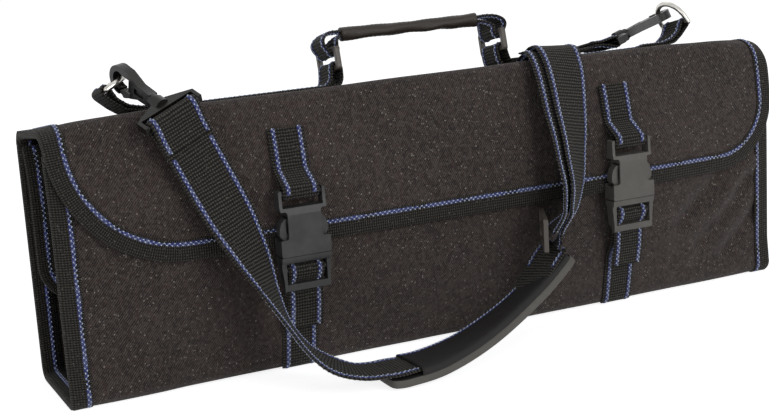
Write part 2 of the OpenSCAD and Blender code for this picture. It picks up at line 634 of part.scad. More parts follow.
// A frame with its origin at o, its -z along a and its x along x
module in_frame(o, a, x) {
    y = cross(-a, x);
    multmatrix([[x[0], y[0], -a[0], o[0]], [x[1], y[1], -a[1], o[1]],
        [x[2], y[2], -a[2], o[2]], [0, 0, 0, 1]]) children();
}
module at_hook(o, a, side) {
    in_frame(o, a, unit(cross(side, -a))) translate([0, 0, hook_l - hook_reach]) children();
}
module at_swivel(o, a, bar) {
    in_frame(o, a, unit(bar - a * (a * bar))) translate([0, 0, hook_l - hook_reach]) children();
}
left_across = unit(cross(left_axis, left_hang));
deck_v = [0, cos(top_slope), -sin(top_slope)];
right_across = unit(deck_v - right_axis * (right_axis * deck_v));
right_hang = unit([-1, 0, 0] + right_across * right_across[0]);
module at_hook_left() { at_hook(left_wire, left_axis, left_side) children(); }
module at_swivel_left() { at_swivel(left_wire, left_axis, left_across) children(); }
module at_hook_right() { at_hook(right_wire, right_axis, right_side) children(); }
module at_swivel_right() { at_swivel(right_wire, right_axis, right_across) children(); }

// Loop of strap sewn round a hook's bar
loop_l = 20;
module strap_loop(o, hang, across) {
    p = concat([[1.1, -loop_l], [1.1, -12], [hook_loop_r, -3]], arc([0, 0], hook_loop_r, 0, 180, 8),
        [[-hook_loop_r, -3], [-1.1, -12], [-1.1, -loop_l]]);
    color("#1b1a1a") in_frame(o, hang, across)
        translate([-strap_w / 2, 0, 0]) rotate([90, 0, 90]) linear_extrude(strap_w)
        polygon(ribbon(p, strap_t));
}

// Free strap: hand-chosen stations of [centre, width direction, width], measured
// out from the front foot. They are drawn for a case drawn_h high with its flap's
// edge at drawn_z, and stretch with the two heights
drawn_h = 172;
drawn_z = 82;
function placed_z(z) = z < drawn_z ? z * flap_z / drawn_z
    : flap_z + (z - drawn_z) * (case_h - flap_z) / (drawn_h - drawn_z);
function placed(list) = [for (s = list)
    [[s[0][0], s[0][1] - half_d, placed_z(s[0][2])], s[1], s[2]]];
front_stations = concat([
    [left_bar + left_hang * (loop_l + 1.2), left_across, strap_w],
    [left_bar + left_hang * (loop_l + 22), left_across, strap_w]], placed([
    [[-157, -21, 110], [0.97, 0.12, -0.06], strap_w], [[-147, -28, 84], [0.8, 0.55, 0.14], strap_w],
    [[-140, -36, 61], [0.5, 0.85, 0.1], strap_w], [[-134, -43, 44], [0.4, 0.88, -0.2], strap_w],
    [[-125, -49, 28], [0.35, 0.92, -0.12], strap_w], [[-113, -57, 17], [0.35, 0.93, 0], strap_w],
    [[-99, -62, 11.4], [0.2, 0.98, 0], strap_w], [[-86, -63, 9.6], [-0.06, 1, 0], strap_w]]));
pad_stations = placed([
    [[-84, -63, 4.6], [-0.06, 0.99, 0], 32], [[-74, -63, 4.6], [-0.08, 0.99, 0], pad_w],
    [[-50, -62, 5.4], [-0.16, 0.98, -0.1], pad_w], [[-13, -53, 11.4], [-0.19, 0.94, -0.26], pad_w],
    [[29, -40, 25.4], [-0.18, 0.9, -0.39], pad_w], [[56, -32, 40.8], [-0.18, 0.9, -0.39], pad_w - 3],
    [[64, -30, 47.2], [-0.18, 0.89, -0.38], 28]]);
function pad_top(i) = let (p = pad_stations[i][0],
    n = unit(cross(pad_stations[i][1], pad_stations[i + 1][0] - pad_stations[max(i - 1, 0)][0])))
    [p - n * (pad_t / 2 + 3.5 * gap + strap_t / 2), pad_stations[i][1], strap_w];
rise_stations = placed([
    [[53.6, -31.6, 53], [0.1, 0.99, 0], strap_w], [[59.4, -31.4, 58], [0.5, 0.86, 0], strap_w],
    [[65, -31, 67], [0.6, 0.8, 0], strap_w], [[73, -31, 78], [0.66, 0.75, 0], strap_w],
    [[77.4, -30, 94], [0.7, 0.71, 0], strap_w], [[80, -25, 113], [0.8, 0.6, 0], strap_w],
    [[81.6, -21.4, 127], [0.86, 0.5, 0], strap_w], [[83, -16.4, 142], [0.92, 0.38, 0], strap_w],
    [[84.6, -10.6, 158], [0.95, 0.28, 0], strap_w], [[86, -4.4, 169], [0.97, 0.18, -0.08], strap_w],
    [[87, 4, 177.6], [0.98, 0.08, -0.1], strap_w], [[88, 14, 178.6], [0.99, 0.02, -0.06], strap_w],
    [[88, 23, 174.4], [1, 0, 0], strap_w]]);
main_stations = concat([for (i = [0 : 4]) pad_top(i)], rise_stations,
    [[on_top_point([88, -8, 3]), [1, 0, 0], strap_w]]);
function behind(i) = let (q = rise_stations[i], w = unit(q[1]),
    n = unit(cross(rise_stations[i + 1][0] - rise_stations[i - 1][0], w)))
    [q[0] - 7 * w + (strap_t + 2) * n, w, strap_w];
return_stations = concat(placed([[[55, -31, 66.5], [0.45, 0.89, 0], strap_w]]),
    [for (i = [3 : 11]) behind(i)]);
fold_x = 88;
fold_v = 15;
fold_n = 2.9;
fold_up = strap_t + gap;
diag = [0.7071, 0.7071, 0];
fold_stations = [
    [[fold_x, -7.6, fold_n], [1, 0, 0], strap_w],
    [[fold_x, fold_v - strap_w / 2 - 1.6, fold_n], [1, 0, 0], strap_w],
    [[fold_x, fold_v, fold_n], diag, strap_w * 1.414],
    [[fold_x - 0.8, fold_v + 0.8, fold_n + fold_up / 2], diag, strap_w * 1.414],
    [[fold_x, fold_v, fold_n + fold_up], diag, strap_w * 1.414],
    [[fold_x + strap_w / 2 + 1.6, fold_v, fold_n + fold_up], [0, 1, 0], strap_w],
    [[right_bar[0] - loop_l - 1.2, fold_v, fold_n + fold_up + 1.2], [0, 1, 0], strap_w]];

module strap_front() {
    color("#1b1a1a") swept(front_stations, strap_t, 3);
}
module shoulder_pad() {
    color("#4a4846") swept(pad_stations, pad_t, 3);
}
module strap_main() {
    color("#1b1a1a") swept(main_stations, strap_t, 3);
}
module strap_return() {
    color("#1b1a1a") swept(return_stations, strap_t, 3);
}
module strap_fold() {
    color("#1b1a1a") on_top() swept(fold_stations, strap_t, 1, true);
}
// Three-bar slider that sets the length of the strap
slider_at = placed([[[51.6, -29.2, 67.5]]])[0][0];
slider_w = strap_w + 4;
module strap_slider() {
    color("#2b2b2a") translate(slider_at) rotate([0, 0, 63]) rotate([90, 0, 0])
        translate([0, 0, -1.5]) linear_extrude(3) difference() {
            offset(r = 2, $fn = 24) square([slider_w - 4, 18], center = true);
            for (m = [-1, 1]) translate([0, m * 5]) square([strap_w + 0.6, 6.6], center = true);
        }
}

back_panel();
back_binding();
bottom_panel();
pocket_panel();
elastic_band();
inner_leaf();
leaf_binding();
front_panel();
front_binding();
front_pocket();
lower_webbing(-1);  // lower_webbing_left
lower_webbing(1);  // lower_webbing_right
plug(-1);  // plug_left
plug(1);  // plug_right
arm(-1, 1);  // arm_left_a
arm(-1, -1);  // arm_left_b
arm(1, 1);  // arm_right_a
arm(1, -1);  // arm_right_b
top_panel();
top_binding();
anchor(-1);  // anchor_left
anchor(1);  // anchor_right
handle_tab(-1);  // handle_tab_left
handle_tab(1);  // handle_tab_right
flap_panel();
flap_binding();
upper_webbing(-1);  // upper_webbing_left
upper_webbing(1);  // upper_webbing_right
socket(-1);  // socket_left
socket(1);  // socket_right
handle_ring(-1);  // handle_ring_left
handle_ring(1);  // handle_ring_right
handle_webbing(-1);  // handle_webbing_left
handle_webbing(1);  // handle_webbing_right
handle_grip();
dring(-1, dring_lean);  // dring_left
dring(1, right_lean);  // dring_right
color("#232323") at_hook_left() hook_shape();  // hook_left
color("#232323") at_hook_left() gate_shape();  // gate_left
color("#232323") at_swivel_left() swivel_shape();  // swivel_left
color("#232323") at_hook_right() hook_shape();  // hook_right
color("#232323") at_hook_right() gate_shape();  // gate_right
color("#232323") at_swivel_right() swivel_shape();  // swivel_right
strap_loop(left_bar, left_hang, left_across);  // strap_loop_left
strap_front();
shoulder_pad();
strap_slider();
strap_main();
strap_return();
strap_fold();
strap_loop(right_bar, right_hang, right_across);  // strap_loop_right
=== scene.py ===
import json, math, random
from bisect import bisect_left, bisect_right
import bpy, bmesh
from mathutils import Matrix, Vector
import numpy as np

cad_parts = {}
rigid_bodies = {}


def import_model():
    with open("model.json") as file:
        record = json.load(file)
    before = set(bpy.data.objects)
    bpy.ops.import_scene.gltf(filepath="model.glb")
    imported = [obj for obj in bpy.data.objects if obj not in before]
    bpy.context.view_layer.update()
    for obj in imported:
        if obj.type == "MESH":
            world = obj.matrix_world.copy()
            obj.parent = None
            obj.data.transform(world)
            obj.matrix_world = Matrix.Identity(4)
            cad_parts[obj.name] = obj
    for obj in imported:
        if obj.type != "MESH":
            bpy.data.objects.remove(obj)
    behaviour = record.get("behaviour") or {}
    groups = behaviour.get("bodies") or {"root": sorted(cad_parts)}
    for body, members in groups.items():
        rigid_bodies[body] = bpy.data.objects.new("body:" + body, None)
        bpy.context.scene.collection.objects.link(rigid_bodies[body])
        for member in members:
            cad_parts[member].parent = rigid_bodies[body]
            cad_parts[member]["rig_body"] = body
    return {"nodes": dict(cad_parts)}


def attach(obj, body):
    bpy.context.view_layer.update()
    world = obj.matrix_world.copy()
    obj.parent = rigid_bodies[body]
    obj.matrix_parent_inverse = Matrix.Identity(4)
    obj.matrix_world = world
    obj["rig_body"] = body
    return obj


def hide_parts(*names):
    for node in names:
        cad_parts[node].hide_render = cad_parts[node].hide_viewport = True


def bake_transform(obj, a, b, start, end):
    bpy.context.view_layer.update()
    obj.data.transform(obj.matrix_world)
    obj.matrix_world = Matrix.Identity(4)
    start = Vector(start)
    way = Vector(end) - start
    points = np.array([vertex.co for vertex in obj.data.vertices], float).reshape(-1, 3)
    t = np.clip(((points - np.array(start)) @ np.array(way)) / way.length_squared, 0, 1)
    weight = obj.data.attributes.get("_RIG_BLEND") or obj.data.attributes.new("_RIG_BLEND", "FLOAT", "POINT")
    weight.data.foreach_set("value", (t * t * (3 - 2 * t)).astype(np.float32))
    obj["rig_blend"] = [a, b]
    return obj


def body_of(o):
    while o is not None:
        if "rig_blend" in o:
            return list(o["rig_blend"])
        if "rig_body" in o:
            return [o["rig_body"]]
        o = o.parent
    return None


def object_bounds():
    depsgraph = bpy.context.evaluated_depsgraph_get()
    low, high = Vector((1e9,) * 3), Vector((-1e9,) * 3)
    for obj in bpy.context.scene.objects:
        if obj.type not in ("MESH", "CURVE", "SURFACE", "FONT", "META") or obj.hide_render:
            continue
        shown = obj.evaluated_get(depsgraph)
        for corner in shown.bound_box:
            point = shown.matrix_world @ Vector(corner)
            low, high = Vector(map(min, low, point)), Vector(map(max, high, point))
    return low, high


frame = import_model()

cadBox = [list(c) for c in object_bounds()]
mm = 0.001
random.seed(7)
print("frame loaded:", len(frame["nodes"]), "nodes")


def placed(name, data):
    obj = bpy.data.objects.new(name, data)
    bpy.context.scene.collection.objects.link(obj)
    return obj


def facing(place, aim, unit=1):
    place, aim = Vector(place), Vector(aim)
    return Matrix.Translation(place * unit) @ (aim - place).to_track_quat("-Z", "Y").to_matrix().to_4x4()


def joined(name):
    return "".join(word[0].upper() + word[1:] for word in name.split("_"))


class Nodes:
    # a node tree, emptied, and short ways to add to it
    def __init__(self, tree):
        self.tree = tree
        tree.nodes.clear()

    def fill(self, node, inputs):
        # each input gets a link, a value or a colour
        for key, value in inputs.items():
            socket = node.inputs[key]
            if isinstance(value, bpy.types.NodeSocket):
                self.tree.links.new(value, socket)
            else:
                socket.default_value = (*value, 1) if socket.type == "RGBA" else value
        return node

    def add(self, kind, inputs=None, **settings):
        node = self.tree.nodes.new(kind)
        for key, value in settings.items():
            setattr(node, key, value)
        return self.fill(node, inputs or {})

    def out(self, kind, inputs=None, **settings):
        return self.add(kind, inputs, **settings).outputs[0]

    def calc(self, kind, *values):
        return self.out("ShaderNodeMath", dict(enumerate(values)), operation=kind)

    def times(self, a, b):
        return self.calc("MULTIPLY", a, b)

    def plus(self, a, b):
        return self.calc("ADD", a, b)

    def wave(self, value, period):
        # a sine from 0 to 1
        return self.calc("MULTIPLY_ADD", self.calc("SINE", self.times(value, 2 * math.pi / period)), 0.5, 0.5)

    def mixed(self, share, a, b):
        return self.add("ShaderNodeMix", {0: share, 6: a, 7: b}, data_type="RGBA").outputs[2]

    def ramp(self, value, low, high):
        return self.out("ShaderNodeMapRange", {0: value, 1: low, 2: high})

    def stretched(self, coords, scale):
        return self.out("ShaderNodeMapping", {"Vector": coords, "Scale": scale})

    def noise(self, coords, scale, detail=2.0, rough=0.5):
        inputs = {"Vector": coords, "Scale": scale, "Detail": detail, "Roughness": rough}
        return self.out("ShaderNodeTexNoise", inputs)

    def cells(self, coords, scale):
        # distance from a cell's middle, and two random numbers of the cell
        cell = self.add("ShaderNodeTexVoronoi", {"Vector": coords, "Scale": scale}).outputs
        chance = self.add("ShaderNodeSeparateColor", {0: cell["Color"]}).outputs
        return cell["Distance"], chance[0], chance[1]

    def paint(self, skin, inputs, height, strength, depth):
        bump = self.add("ShaderNodeBump", {"Height": height, "Strength": strength, "Distance": depth})
        self.fill(skin, {**inputs, "Normal": bump.outputs[0]})

    def backdrop(self, lit, shown):
        # one shader as a source of light, the other for camera, mirror and see-through rays
        path = self.add("ShaderNodeLightPath").outputs
        direct = path["Is Camera Ray"]
        for name in ("Is Glossy Ray", "Is Transmission Ray"):
            direct = self.calc("MAXIMUM", direct, path[name])
        return self.out("ShaderNodeMixShader", {0: direct, 1: lit, 2: shown})


# camera, floor and light
view = {"place": (-430.6, -872.7, 295.9), "target": (-29.2, 0, 82.4), "roll": -3.54, "lens": 69.94,
        "sensor": 36, "near": 0.05, "far": 50}
cam = placed("camera", bpy.data.cameras.new("camera"))
cam.data.sensor_width, cam.data.lens = view["sensor"], view["lens"]
cam.data.clip_start, cam.data.clip_end = view["near"], view["far"]
roll = Matrix.Rotation(math.radians(view["roll"]), 4, "Z")
cam.matrix_world = facing(view["place"], view["target"], mm) @ roll
bpy.context.scene.camera = cam
bpy.context.scene.view_settings.view_transform = "Standard"

studio = {"sky": (0.93, 0.96, 1), "skyPower": 0.29, "white": (1, 1, 1), "floor": (0.86, 0.86, 0.87), "floorGlow": 0.82,
          "floorHalf": 6, "floorDrop": 0.0002}
lamps = {"keyLight": {"place": (0.45, -1.9, 0.82), "aim": (0, 0, 0.09), "size": 1.1, "power": 12.5},
         "fillLight": {"place": (-1.75, -1.0, 0.62), "aim": (0, 0, 0.09), "size": 1.4, "power": 4.6},
         "rimLight": {"place": (0.2, 1.2, 1.6), "aim": (0, 0, 0.12), "size": 1.2, "power": 1.6}}
world = bpy.data.worlds.new("studio")
bpy.context.scene.world = world
world.use_nodes = True
nodes = Nodes(world.node_tree)
sky = nodes.out("ShaderNodeBackground", {"Color": studio["sky"], "Strength": studio["skyPower"]})
plain = nodes.out("ShaderNodeBackground", {"Color": studio["white"]})
nodes.add("ShaderNodeOutputWorld", {0: nodes.backdrop(sky, plain)})

half, floorZ = studio["floorHalf"], cadBox[0][2] - studio["floorDrop"]
floorMesh = bpy.data.meshes.new("floor")
corners = [(x * half, y * half, floorZ) for x, y in ((-1, -1), (1, -1), (1, 1), (-1, 1))]
floorMesh.from_pydata(corners, [], [(0, 1, 2, 3)])
floorMat = bpy.data.materials.new("paleFloor")
floorMat.use_nodes = True
nodes = Nodes(floorMat.node_tree)
matte = nodes.out("ShaderNodeBsdfDiffuse", {"Color": studio["floor"]})
glow = nodes.out("ShaderNodeEmission", {"Color": studio["white"], "Strength": studio["floorGlow"]})
both = nodes.out("ShaderNodeAddShader", {0: matte, 1: glow})
nodes.add("ShaderNodeOutputMaterial", {0: nodes.backdrop(matte, both)})
floorMesh.materials.append(floorMat)
placed("floor", floorMesh)
for name, spec in lamps.items():
    data = bpy.data.lights.new(name, "AREA")
    data.shape, data.size, data.energy = "DISK", spec["size"], spec["power"]
    placed(name, data).matrix_world = facing(spec["place"], spec["aim"])
print("camera, floor and lamps placed")


# materials
def newMaterial(name, useUv):
    # the material, its nodes, its surface, and the coordinates it is drawn in
    mat = bpy.data.materials.new(name)
    mat.use_nodes = True
    n = Nodes(mat.node_tree)
    skin = n.add("ShaderNodeBsdfPrincipled")
    n.add("ShaderNodeOutputMaterial", {0: skin.outputs[0]})
    if useUv:
        return mat, n, skin, n.out("ShaderNodeUVMap", uv_map="cloth")
    return mat, n, skin, n.add("ShaderNodeTexCoord").outputs["Object"]


def acrossAndAlong(n, coords, useUv):
    axes = n.add("ShaderNodeSeparateXYZ", {0: coords}).outputs
    return axes[0], axes[1 if useUv else 2]


def tinted(colour, tint):
    return tuple(a * b for a, b in zip(colour, tint))


twillRule = {"period": 0.0016, "slant": -0.8, "wobble": 0.0011, "threads": 760, "ribShare": 0.52, "tones": (0.26, 0.84),
             "patch": 0.22, "blush": (0.75, 0.5, 0.5), "cloud": (1.25, 1.05, 1.12), "flecks": 900, "fleckSize": 0.42,
             "fleckRare": 0.84, "glint": 0.85, "creases": 3.2, "relief": (0.75, 0.0007)}
ribRule = {"cross": 0.0017, "drift": 0.55, "ribShare": 0.3, "knotShare": 1.5, "tones": (0.18, 0.95),
           "speck": (0.2, 0.19, 0.175), "relief": (0.9, 0.0006)}


def twill(name, dark, light, speck, useUv=True, specks=1.0):
    # diagonal weave of warm black threads with pale flecks
    mat, n, skin, coords = newMaterial(name, useUv)
    u, v = acrossAndAlong(n, coords, useUv)
    rule, share = twillRule, twillRule["ribShare"]
    wobble = n.times(n.noise(coords, 260), rule["wobble"])
    rib = n.wave(n.plus(n.plus(u, n.times(v, rule["slant"])), wobble), rule["period"])
    threads = n.cells(n.stretched(coords, (1, 0.8, 1)), rule["threads"])[1]
    weave = n.plus(n.times(rib, share), n.times(threads, 1 - share))
    tone = n.mixed(n.ramp(weave, *rule["tones"]), dark, light)
    blush = n.ramp(n.noise(coords, 210), 0.42, 0.62)
    tone = n.mixed(n.times(blush, rule["patch"]), tone, tinted(light, rule["blush"]))
    cloud = n.ramp(n.noise(coords, 9, 3, 0.6), 0.3, 0.7)
    tone = n.mixed(n.times(cloud, rule["patch"]), tone, tinted(light, rule["cloud"]))
    distance, pick, shine = n.cells(coords, rule["flecks"])
    near, few = n.calc("LESS_THAN", distance, rule["fleckSize"]), n.calc("GREATER_THAN", pick, rule["fleckRare"])
    glint = n.times(n.calc("POWER", shine, 2.6), rule["glint"] * specks)
    tone = n.mixed(n.times(n.times(near, few), glint), tone, speck)
    creases = n.noise(n.stretched(coords, (1, 0.6, 1)), 22, 3, 0.55)
    n.paint(skin, {"Base Color": tone, "Roughness": 0.86, "Specular IOR Level": 0.24, "Sheen Weight": 0.12,
                   "Sheen Roughness": 0.55}, n.plus(weave, n.times(creases, rule["creases"])), *rule["relief"])
    return mat


def ribbed(name, dark, light, period, speck, useUv=True):
    # webbing or tape: ribs square to its length, a fine grain along it
    mat, n, skin, coords = newMaterial(name, useUv)
    u, v = acrossAndAlong(n, coords, useUv)
    rule = ribRule
    drift = n.times(n.noise(coords, 190), period * rule["drift"])
    rib = n.wave(n.plus(v, drift), period)
    grain = n.noise(n.stretched(coords, (1.6, 1, 1)), 900, 2, 0.7)
    knot = n.times(n.wave(u, rule["cross"]), n.times(rib, grain))
    weave = n.plus(n.times(rib, rule["ribShare"]), n.times(knot, rule["knotShare"]))
    tone = n.mixed(n.ramp(weave, *rule["tones"]), dark, light)
    pale = n.ramp(n.noise(coords, 700, 1), 0.66, 0.74)
    tone = n.mixed(n.times(pale, speck), tone, rule["speck"])
    n.paint(skin, {"Base Color": tone, "Roughness": 0.8, "Specular IOR Level": 0.2, "Sheen Weight": 0.06},
            weave, *rule["relief"])
    return mat


def moulded(name, colour, rough, grain, wear=(0.16, 0.155, 0.145)):
    # plastic or rubber with a fine grain and smudges
    mat, n, skin, coords = newMaterial(name, False)
    fine, smudge = n.noise(coords, 1500, 2, 0.6), n.noise(coords, 55, 4, 0.6)
    tone = n.mixed(n.times(n.ramp(smudge, 0.42, 0.75), 0.3), colour, wear)
    uneven = n.plus(n.times(smudge, 0.22), rough - 0.11)
    n.paint(skin, {"Base Color": tone, "Roughness": uneven, "Specular IOR Level": 0.34},
            n.plus(fine, n.times(smudge, 0.4)), grain, 0.0003)
    return mat


def plated(name, bright, dull):
    mat, n, skin, coords = newMaterial(name, False)
    marks = n.noise(coords, 240, 4, 0.7)
    tone = n.mixed(n.ramp(marks, 0.35, 0.75), bright, dull)
    uneven = n.calc("MULTIPLY_ADD", marks, 0.25, 0.12)
    n.paint(skin, {"Base Color": tone, "Metallic": 1, "Roughness": uneven}, marks, 0.12, 0.0002)
    return mat


def thread(name, deep, pale):
    # one stitch is blue, the next catches the light
    mat, n, skin, coords = newMaterial(name, False)
    twist = n.noise(coords, 2400, 1)
    tone = n.mixed(n.add("ShaderNodeAttribute", attribute_name="shade").outputs["Fac"], deep, pale)
    tone = n.mixed(n.times(n.ramp(twist, 0.35, 0.7), 0.35), tone, deep)
    n.paint(skin, {"Base Color": tone, "Roughness": 0.45, "Sheen Weight": 0.25}, twist, 0.4, 0.0002)
    return mat


recipes = {
    "caseFabric": (twill, (0.0012, 0.0010, 0.0008), (0.097, 0.079, 0.068), (0.38, 0.35, 0.31)),
    "innerCloth": (twill, (0.009, 0.009, 0.009), (0.034, 0.033, 0.032), (0.08, 0.08, 0.08), False, 0.5),
    "bindingTape": (ribbed, (0.0035, 0.0035, 0.003), (0.098, 0.086, 0.070), 0.0015, 0.7),
    "narrowWebbing": (ribbed, (0.003, 0.003, 0.003), (0.100, 0.090, 0.072), 0.0020, 0.6),
    "wideWebbing": (ribbed, (0.003, 0.003, 0.003), (0.120, 0.107, 0.088), 0.0021, 0.6),
    "elastic": (ribbed, (0.006, 0.006, 0.006), (0.03, 0.03, 0.03), 0.0012, 0.2, False),
    # the thread's pale colour is a painted highlight on the blue thread
    "thread": (thread, (0.006, 0.016, 0.185), (0.80, 0.90, 1.0)),
    "darkBuckle": (moulded, (0.031, 0.031, 0.032), 0.42, 0.3),
    "greyBuckle": (moulded, (0.105, 0.098, 0.088), 0.4, 0.3, (0.2, 0.19, 0.17)),
    "ringPlastic": (moulded, (0.10, 0.085, 0.072), 0.38, 0.2),
    "hookPlastic": (moulded, (0.007, 0.006, 0.005), 0.30, 0.2, (0.026, 0.023, 0.02)),
    "gatePlastic": (moulded, (0.12, 0.118, 0.112), 0.35, 0.15),
    "nickel": (plated, (0.68, 0.66, 0.61), (0.42, 0.41, 0.38)),
    "gripCover": (moulded, (0.026, 0.019, 0.014), 0.40, 0.9, (0.06, 0.047, 0.037)),
    "padCover": (moulded, (0.010, 0.0085, 0.008), 0.7, 0.8, (0.03, 0.03, 0.03)),
    "padEdge": (moulded, (0.120, 0.112, 0.100), 0.7, 0.7, (0.20, 0.19, 0.175)),
}
finish = {name: kind(name, *values) for name, (kind, *values) in recipes.items()}
print("materials made:", len(finish))


# mesh helpers
def meshObject(name, verts, faces, uvs, material):
    # verts in millimetres; uvs are one (u, v) in metres for each corner of each face
    mesh = bpy.data.meshes.new(name)
    mesh.from_pydata([(x * mm, y * mm, z * mm) for x, y, z in verts], [], faces)
    mesh.uv_layers.new(name="cloth").data.foreach_set("uv", [c for face in uvs for corner in face for c in corner])
    mesh.materials.append(finish[material])
    mesh.polygons.foreach_set("use_smooth", [True] * len(faces))
    return placed(name, mesh)


def applied(obj):
    # bake every modifier into the mesh
    deps = bpy.context.evaluated_depsgraph_get()
    mesh = bpy.data.meshes.new_from_object(obj.evaluated_get(deps), preserve_all_data_layers=True, depsgraph=deps)
    old = obj.data
    obj.modifiers.clear()
    obj.data = mesh
    mesh.name = obj.name
    bpy.data.meshes.remove(old)
    return obj


def flipIfInside(obj):
    # a closed thin shell must have its faces outwards
    volume = 0
    mesh = obj.data
    mesh.calc_loop_triangles()
    for tri in mesh.loop_triangles:
        a, b, c = (mesh.vertices[i].co for i in tri.vertices)
        volume += a.dot(b.cross(c))
    if volume < 0:
        work = bmesh.new()
        work.from_mesh(mesh)
        bmesh.ops.reverse_faces(work, faces=work.faces)
        work.to_mesh(mesh)
        work.free()
    return obj


def sheetObject(name, columns, uv, material, thickness, offset=-1.0):
    # columns of points of equal length, joined in order and made thick; uv[i][j] in metres
    rows = len(columns[0])
    faces, corners = [], []
    for i in range(len(columns) - 1):
        for j in range(rows - 1):
            faces.append((i * rows + j, (i + 1) * rows + j, (i + 1) * rows + j + 1, i * rows + j + 1))
            corners.append((uv[i][j], uv[i + 1][j], uv[i + 1][j + 1], uv[i][j + 1]))
    obj = meshObject(name, [p for column in columns for p in column], faces, corners, material)
    solid = obj.modifiers.new("thickness", "SOLIDIFY")
    solid.thickness, solid.offset, solid.use_even_offset = thickness * mm, offset, True
    return flipIfInside(applied(obj))


def finishPiece(obj, body, nodes):
    if body:
        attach(obj, body)
    if nodes:
        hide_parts(*nodes)
    return obj


def blend(obj, first, second, start, end):
    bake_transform(obj, first, second, tuple(c * mm for c in start), tuple(c * mm for c in end))


def evenly(a, b, n):
    return [a + (b - a) * i / n for i in range(n + 1)]


def catmull(a, b, c, d, t):
    return [0.5 * (2 * b[i] + (c[i] - a[i]) * t + (2 * a[i] - 5 * b[i] + 4 * c[i] - d[i]) * t * t
                   + (3 * b[i] - a[i] - 3 * c[i] + d[i]) * t ** 3) for i in range(len(a))]


def smoothed(points, k):
    n = len(points) - 1
    out = []
    for i in range(n):
        for j in range(k):
            out.append(catmull(points[max(i - 1, 0)], points[i], points[i + 1], points[min(i + 2, n)], j / k))
    return out + [list(points[n])]


def lengths(points):
    total, out = 0, [0]
    for a, b in zip(points, points[1:]):
        total += math.dist(a, b)
        out.append(total)
    return out


def segment(run, r):
    # the piece of a line that holds the length r
    return min(max(bisect_left(run, r) - 1, 0), len(run) - 2)


def arcPoints(c, r, a, b, n):
    return [(c[0] + r * math.cos(math.radians(d)), c[1] + r * math.sin(math.radians(d))) for d in evenly(a, b, n)]


# the form of the case
case = {"halfLength": 255, "halfDepth": 38, "bulge": 10, "bulgeHeight": 144.48, "leanFrom": 96.32, "lean": 0.0015,
        "flapOffset": 5.3, "flapEdge": 82, "tapeWidth": 12, "ridge": 8, "ridgeHeight": 164, "droop": 5, "endDroop": 2,
        "endRound": 12, "endBack": 7, "backCentre": (33, 152.167), "backRadius": 5, "footRadius": 8,
        "frontFoot": (-39.956, 7.164), "frontLow": 24.8, "topSlope": 13.6, "topHeight": 165.294}


def fade(x):
    return 1 - min(abs(x) / case["halfLength"], 1) ** 3


def endShare(x, length):
    # 0 up to that length from an open end, then rising to 1 at the end
    return (max(0, abs(x) - case["halfLength"] + length) / length) ** 2


def droop(x):
    return case["droop"] * min(abs(x) / case["halfLength"], 1) ** 5 + case["endDroop"] * endShare(x, 24)


def frontY(z, x):
    t = z / case["bulgeHeight"]
    return (-case["halfDepth"] - 4 * case["bulge"] * fade(x) * t * (1 - t)
            + (1 - fade(x)) * case["lean"] * max(z - case["leanFrom"], 0) ** 2)


def flapY(z, x):
    return frontY(z, x) - case["flapOffset"]


def shoulder(x):
    return 20 - 9 * (1 - fade(x))


def ridgeRadius(x):
    # the fold is rounder towards the open ends
    return case["ridge"] + case["endRound"] * endShare(x, 50)


def backArc(x):
    # centre and radius of the back's top corner, tangent to the back and to the top
    d = case["endBack"] * endShare(x, 36)
    return (case["backCentre"][0] - d, case["backCentre"][1] - 0.787 * d), case["backRadius"] + d


def ridgeAt(x):
    r, a = ridgeRadius(x), math.radians(shoulder(x))
    z = case["ridgeHeight"] - droop(x) - (r - case["ridge"]) * 1.04
    return (flapY(z + r * math.sin(a), x) + r * math.cos(a), z)


def topAngle(x):
    r, (b, back) = ridgeAt(x), backArc(x)
    dy, dz = b[0] - r[0], b[1] - r[1]
    return math.degrees(math.atan2(dz, dy) + math.acos((ridgeRadius(x) - back) / math.hypot(dy, dz)))


def stepped(start, end, n):
    # the points between two points, without the two
    return [tuple(p + (q - p) * i / n for p, q in zip(start, end)) for i in range(1, n)]


def lidPath(x):
    # up the flap, over the ridge, back along the top and round to the hinge
    ridge = ridgeRadius(x)
    top = ridgeAt(x)[1] + ridge * math.sin(math.radians(shoulder(x)))
    low, a = case["flapEdge"] - 6, topAngle(x)
    heights = evenly(low, top, 40)[:-1]
    start, end = (arcPoints(*arc, a, a, 1)[0] for arc in ((ridgeAt(x), ridge), backArc(x)))
    return ([(flapY(z, x), z) for z in heights] + arcPoints(ridgeAt(x), ridge, 180 - shoulder(x), a, 14)
            + stepped(start, end, 14) + arcPoints(*backArc(x), a, 45.64, 8))


def bodyPath(x):
    # down the back from the hinge, along the bottom and up the front
    top, low, foot = case["ridgeHeight"] - droop(x) - 4.5, case["frontLow"], case["footRadius"]
    face = [(frontY(z, x), z) for z in evenly(low, top, 40)]
    depth, back = case["halfDepth"], backArc(x)[0][1]
    return (arcPoints(*backArc(x), 30.36, 0, 6) + stepped((depth, back), (depth, foot), 40)
            + arcPoints((30, foot), foot, 0, -90, 9) + stepped((30, 0), (-32, 0), 20)
            + arcPoints((-32, foot), foot, 270, 186, 9) + stepped(case["frontFoot"], face[0], 5) + face)


def leafPath(x):
    # up the front face of the leaf to the back panel
    bend = [(23, 114), (23.2, 122), (24.9, 132), (28, 141), (31.4, 149.167)]
    points = [(23, z) for z in evenly(52, 114, 24)[:-1]] + smoothed(bend, 4)
    return [(y - 1.2, z) for y, z in points]


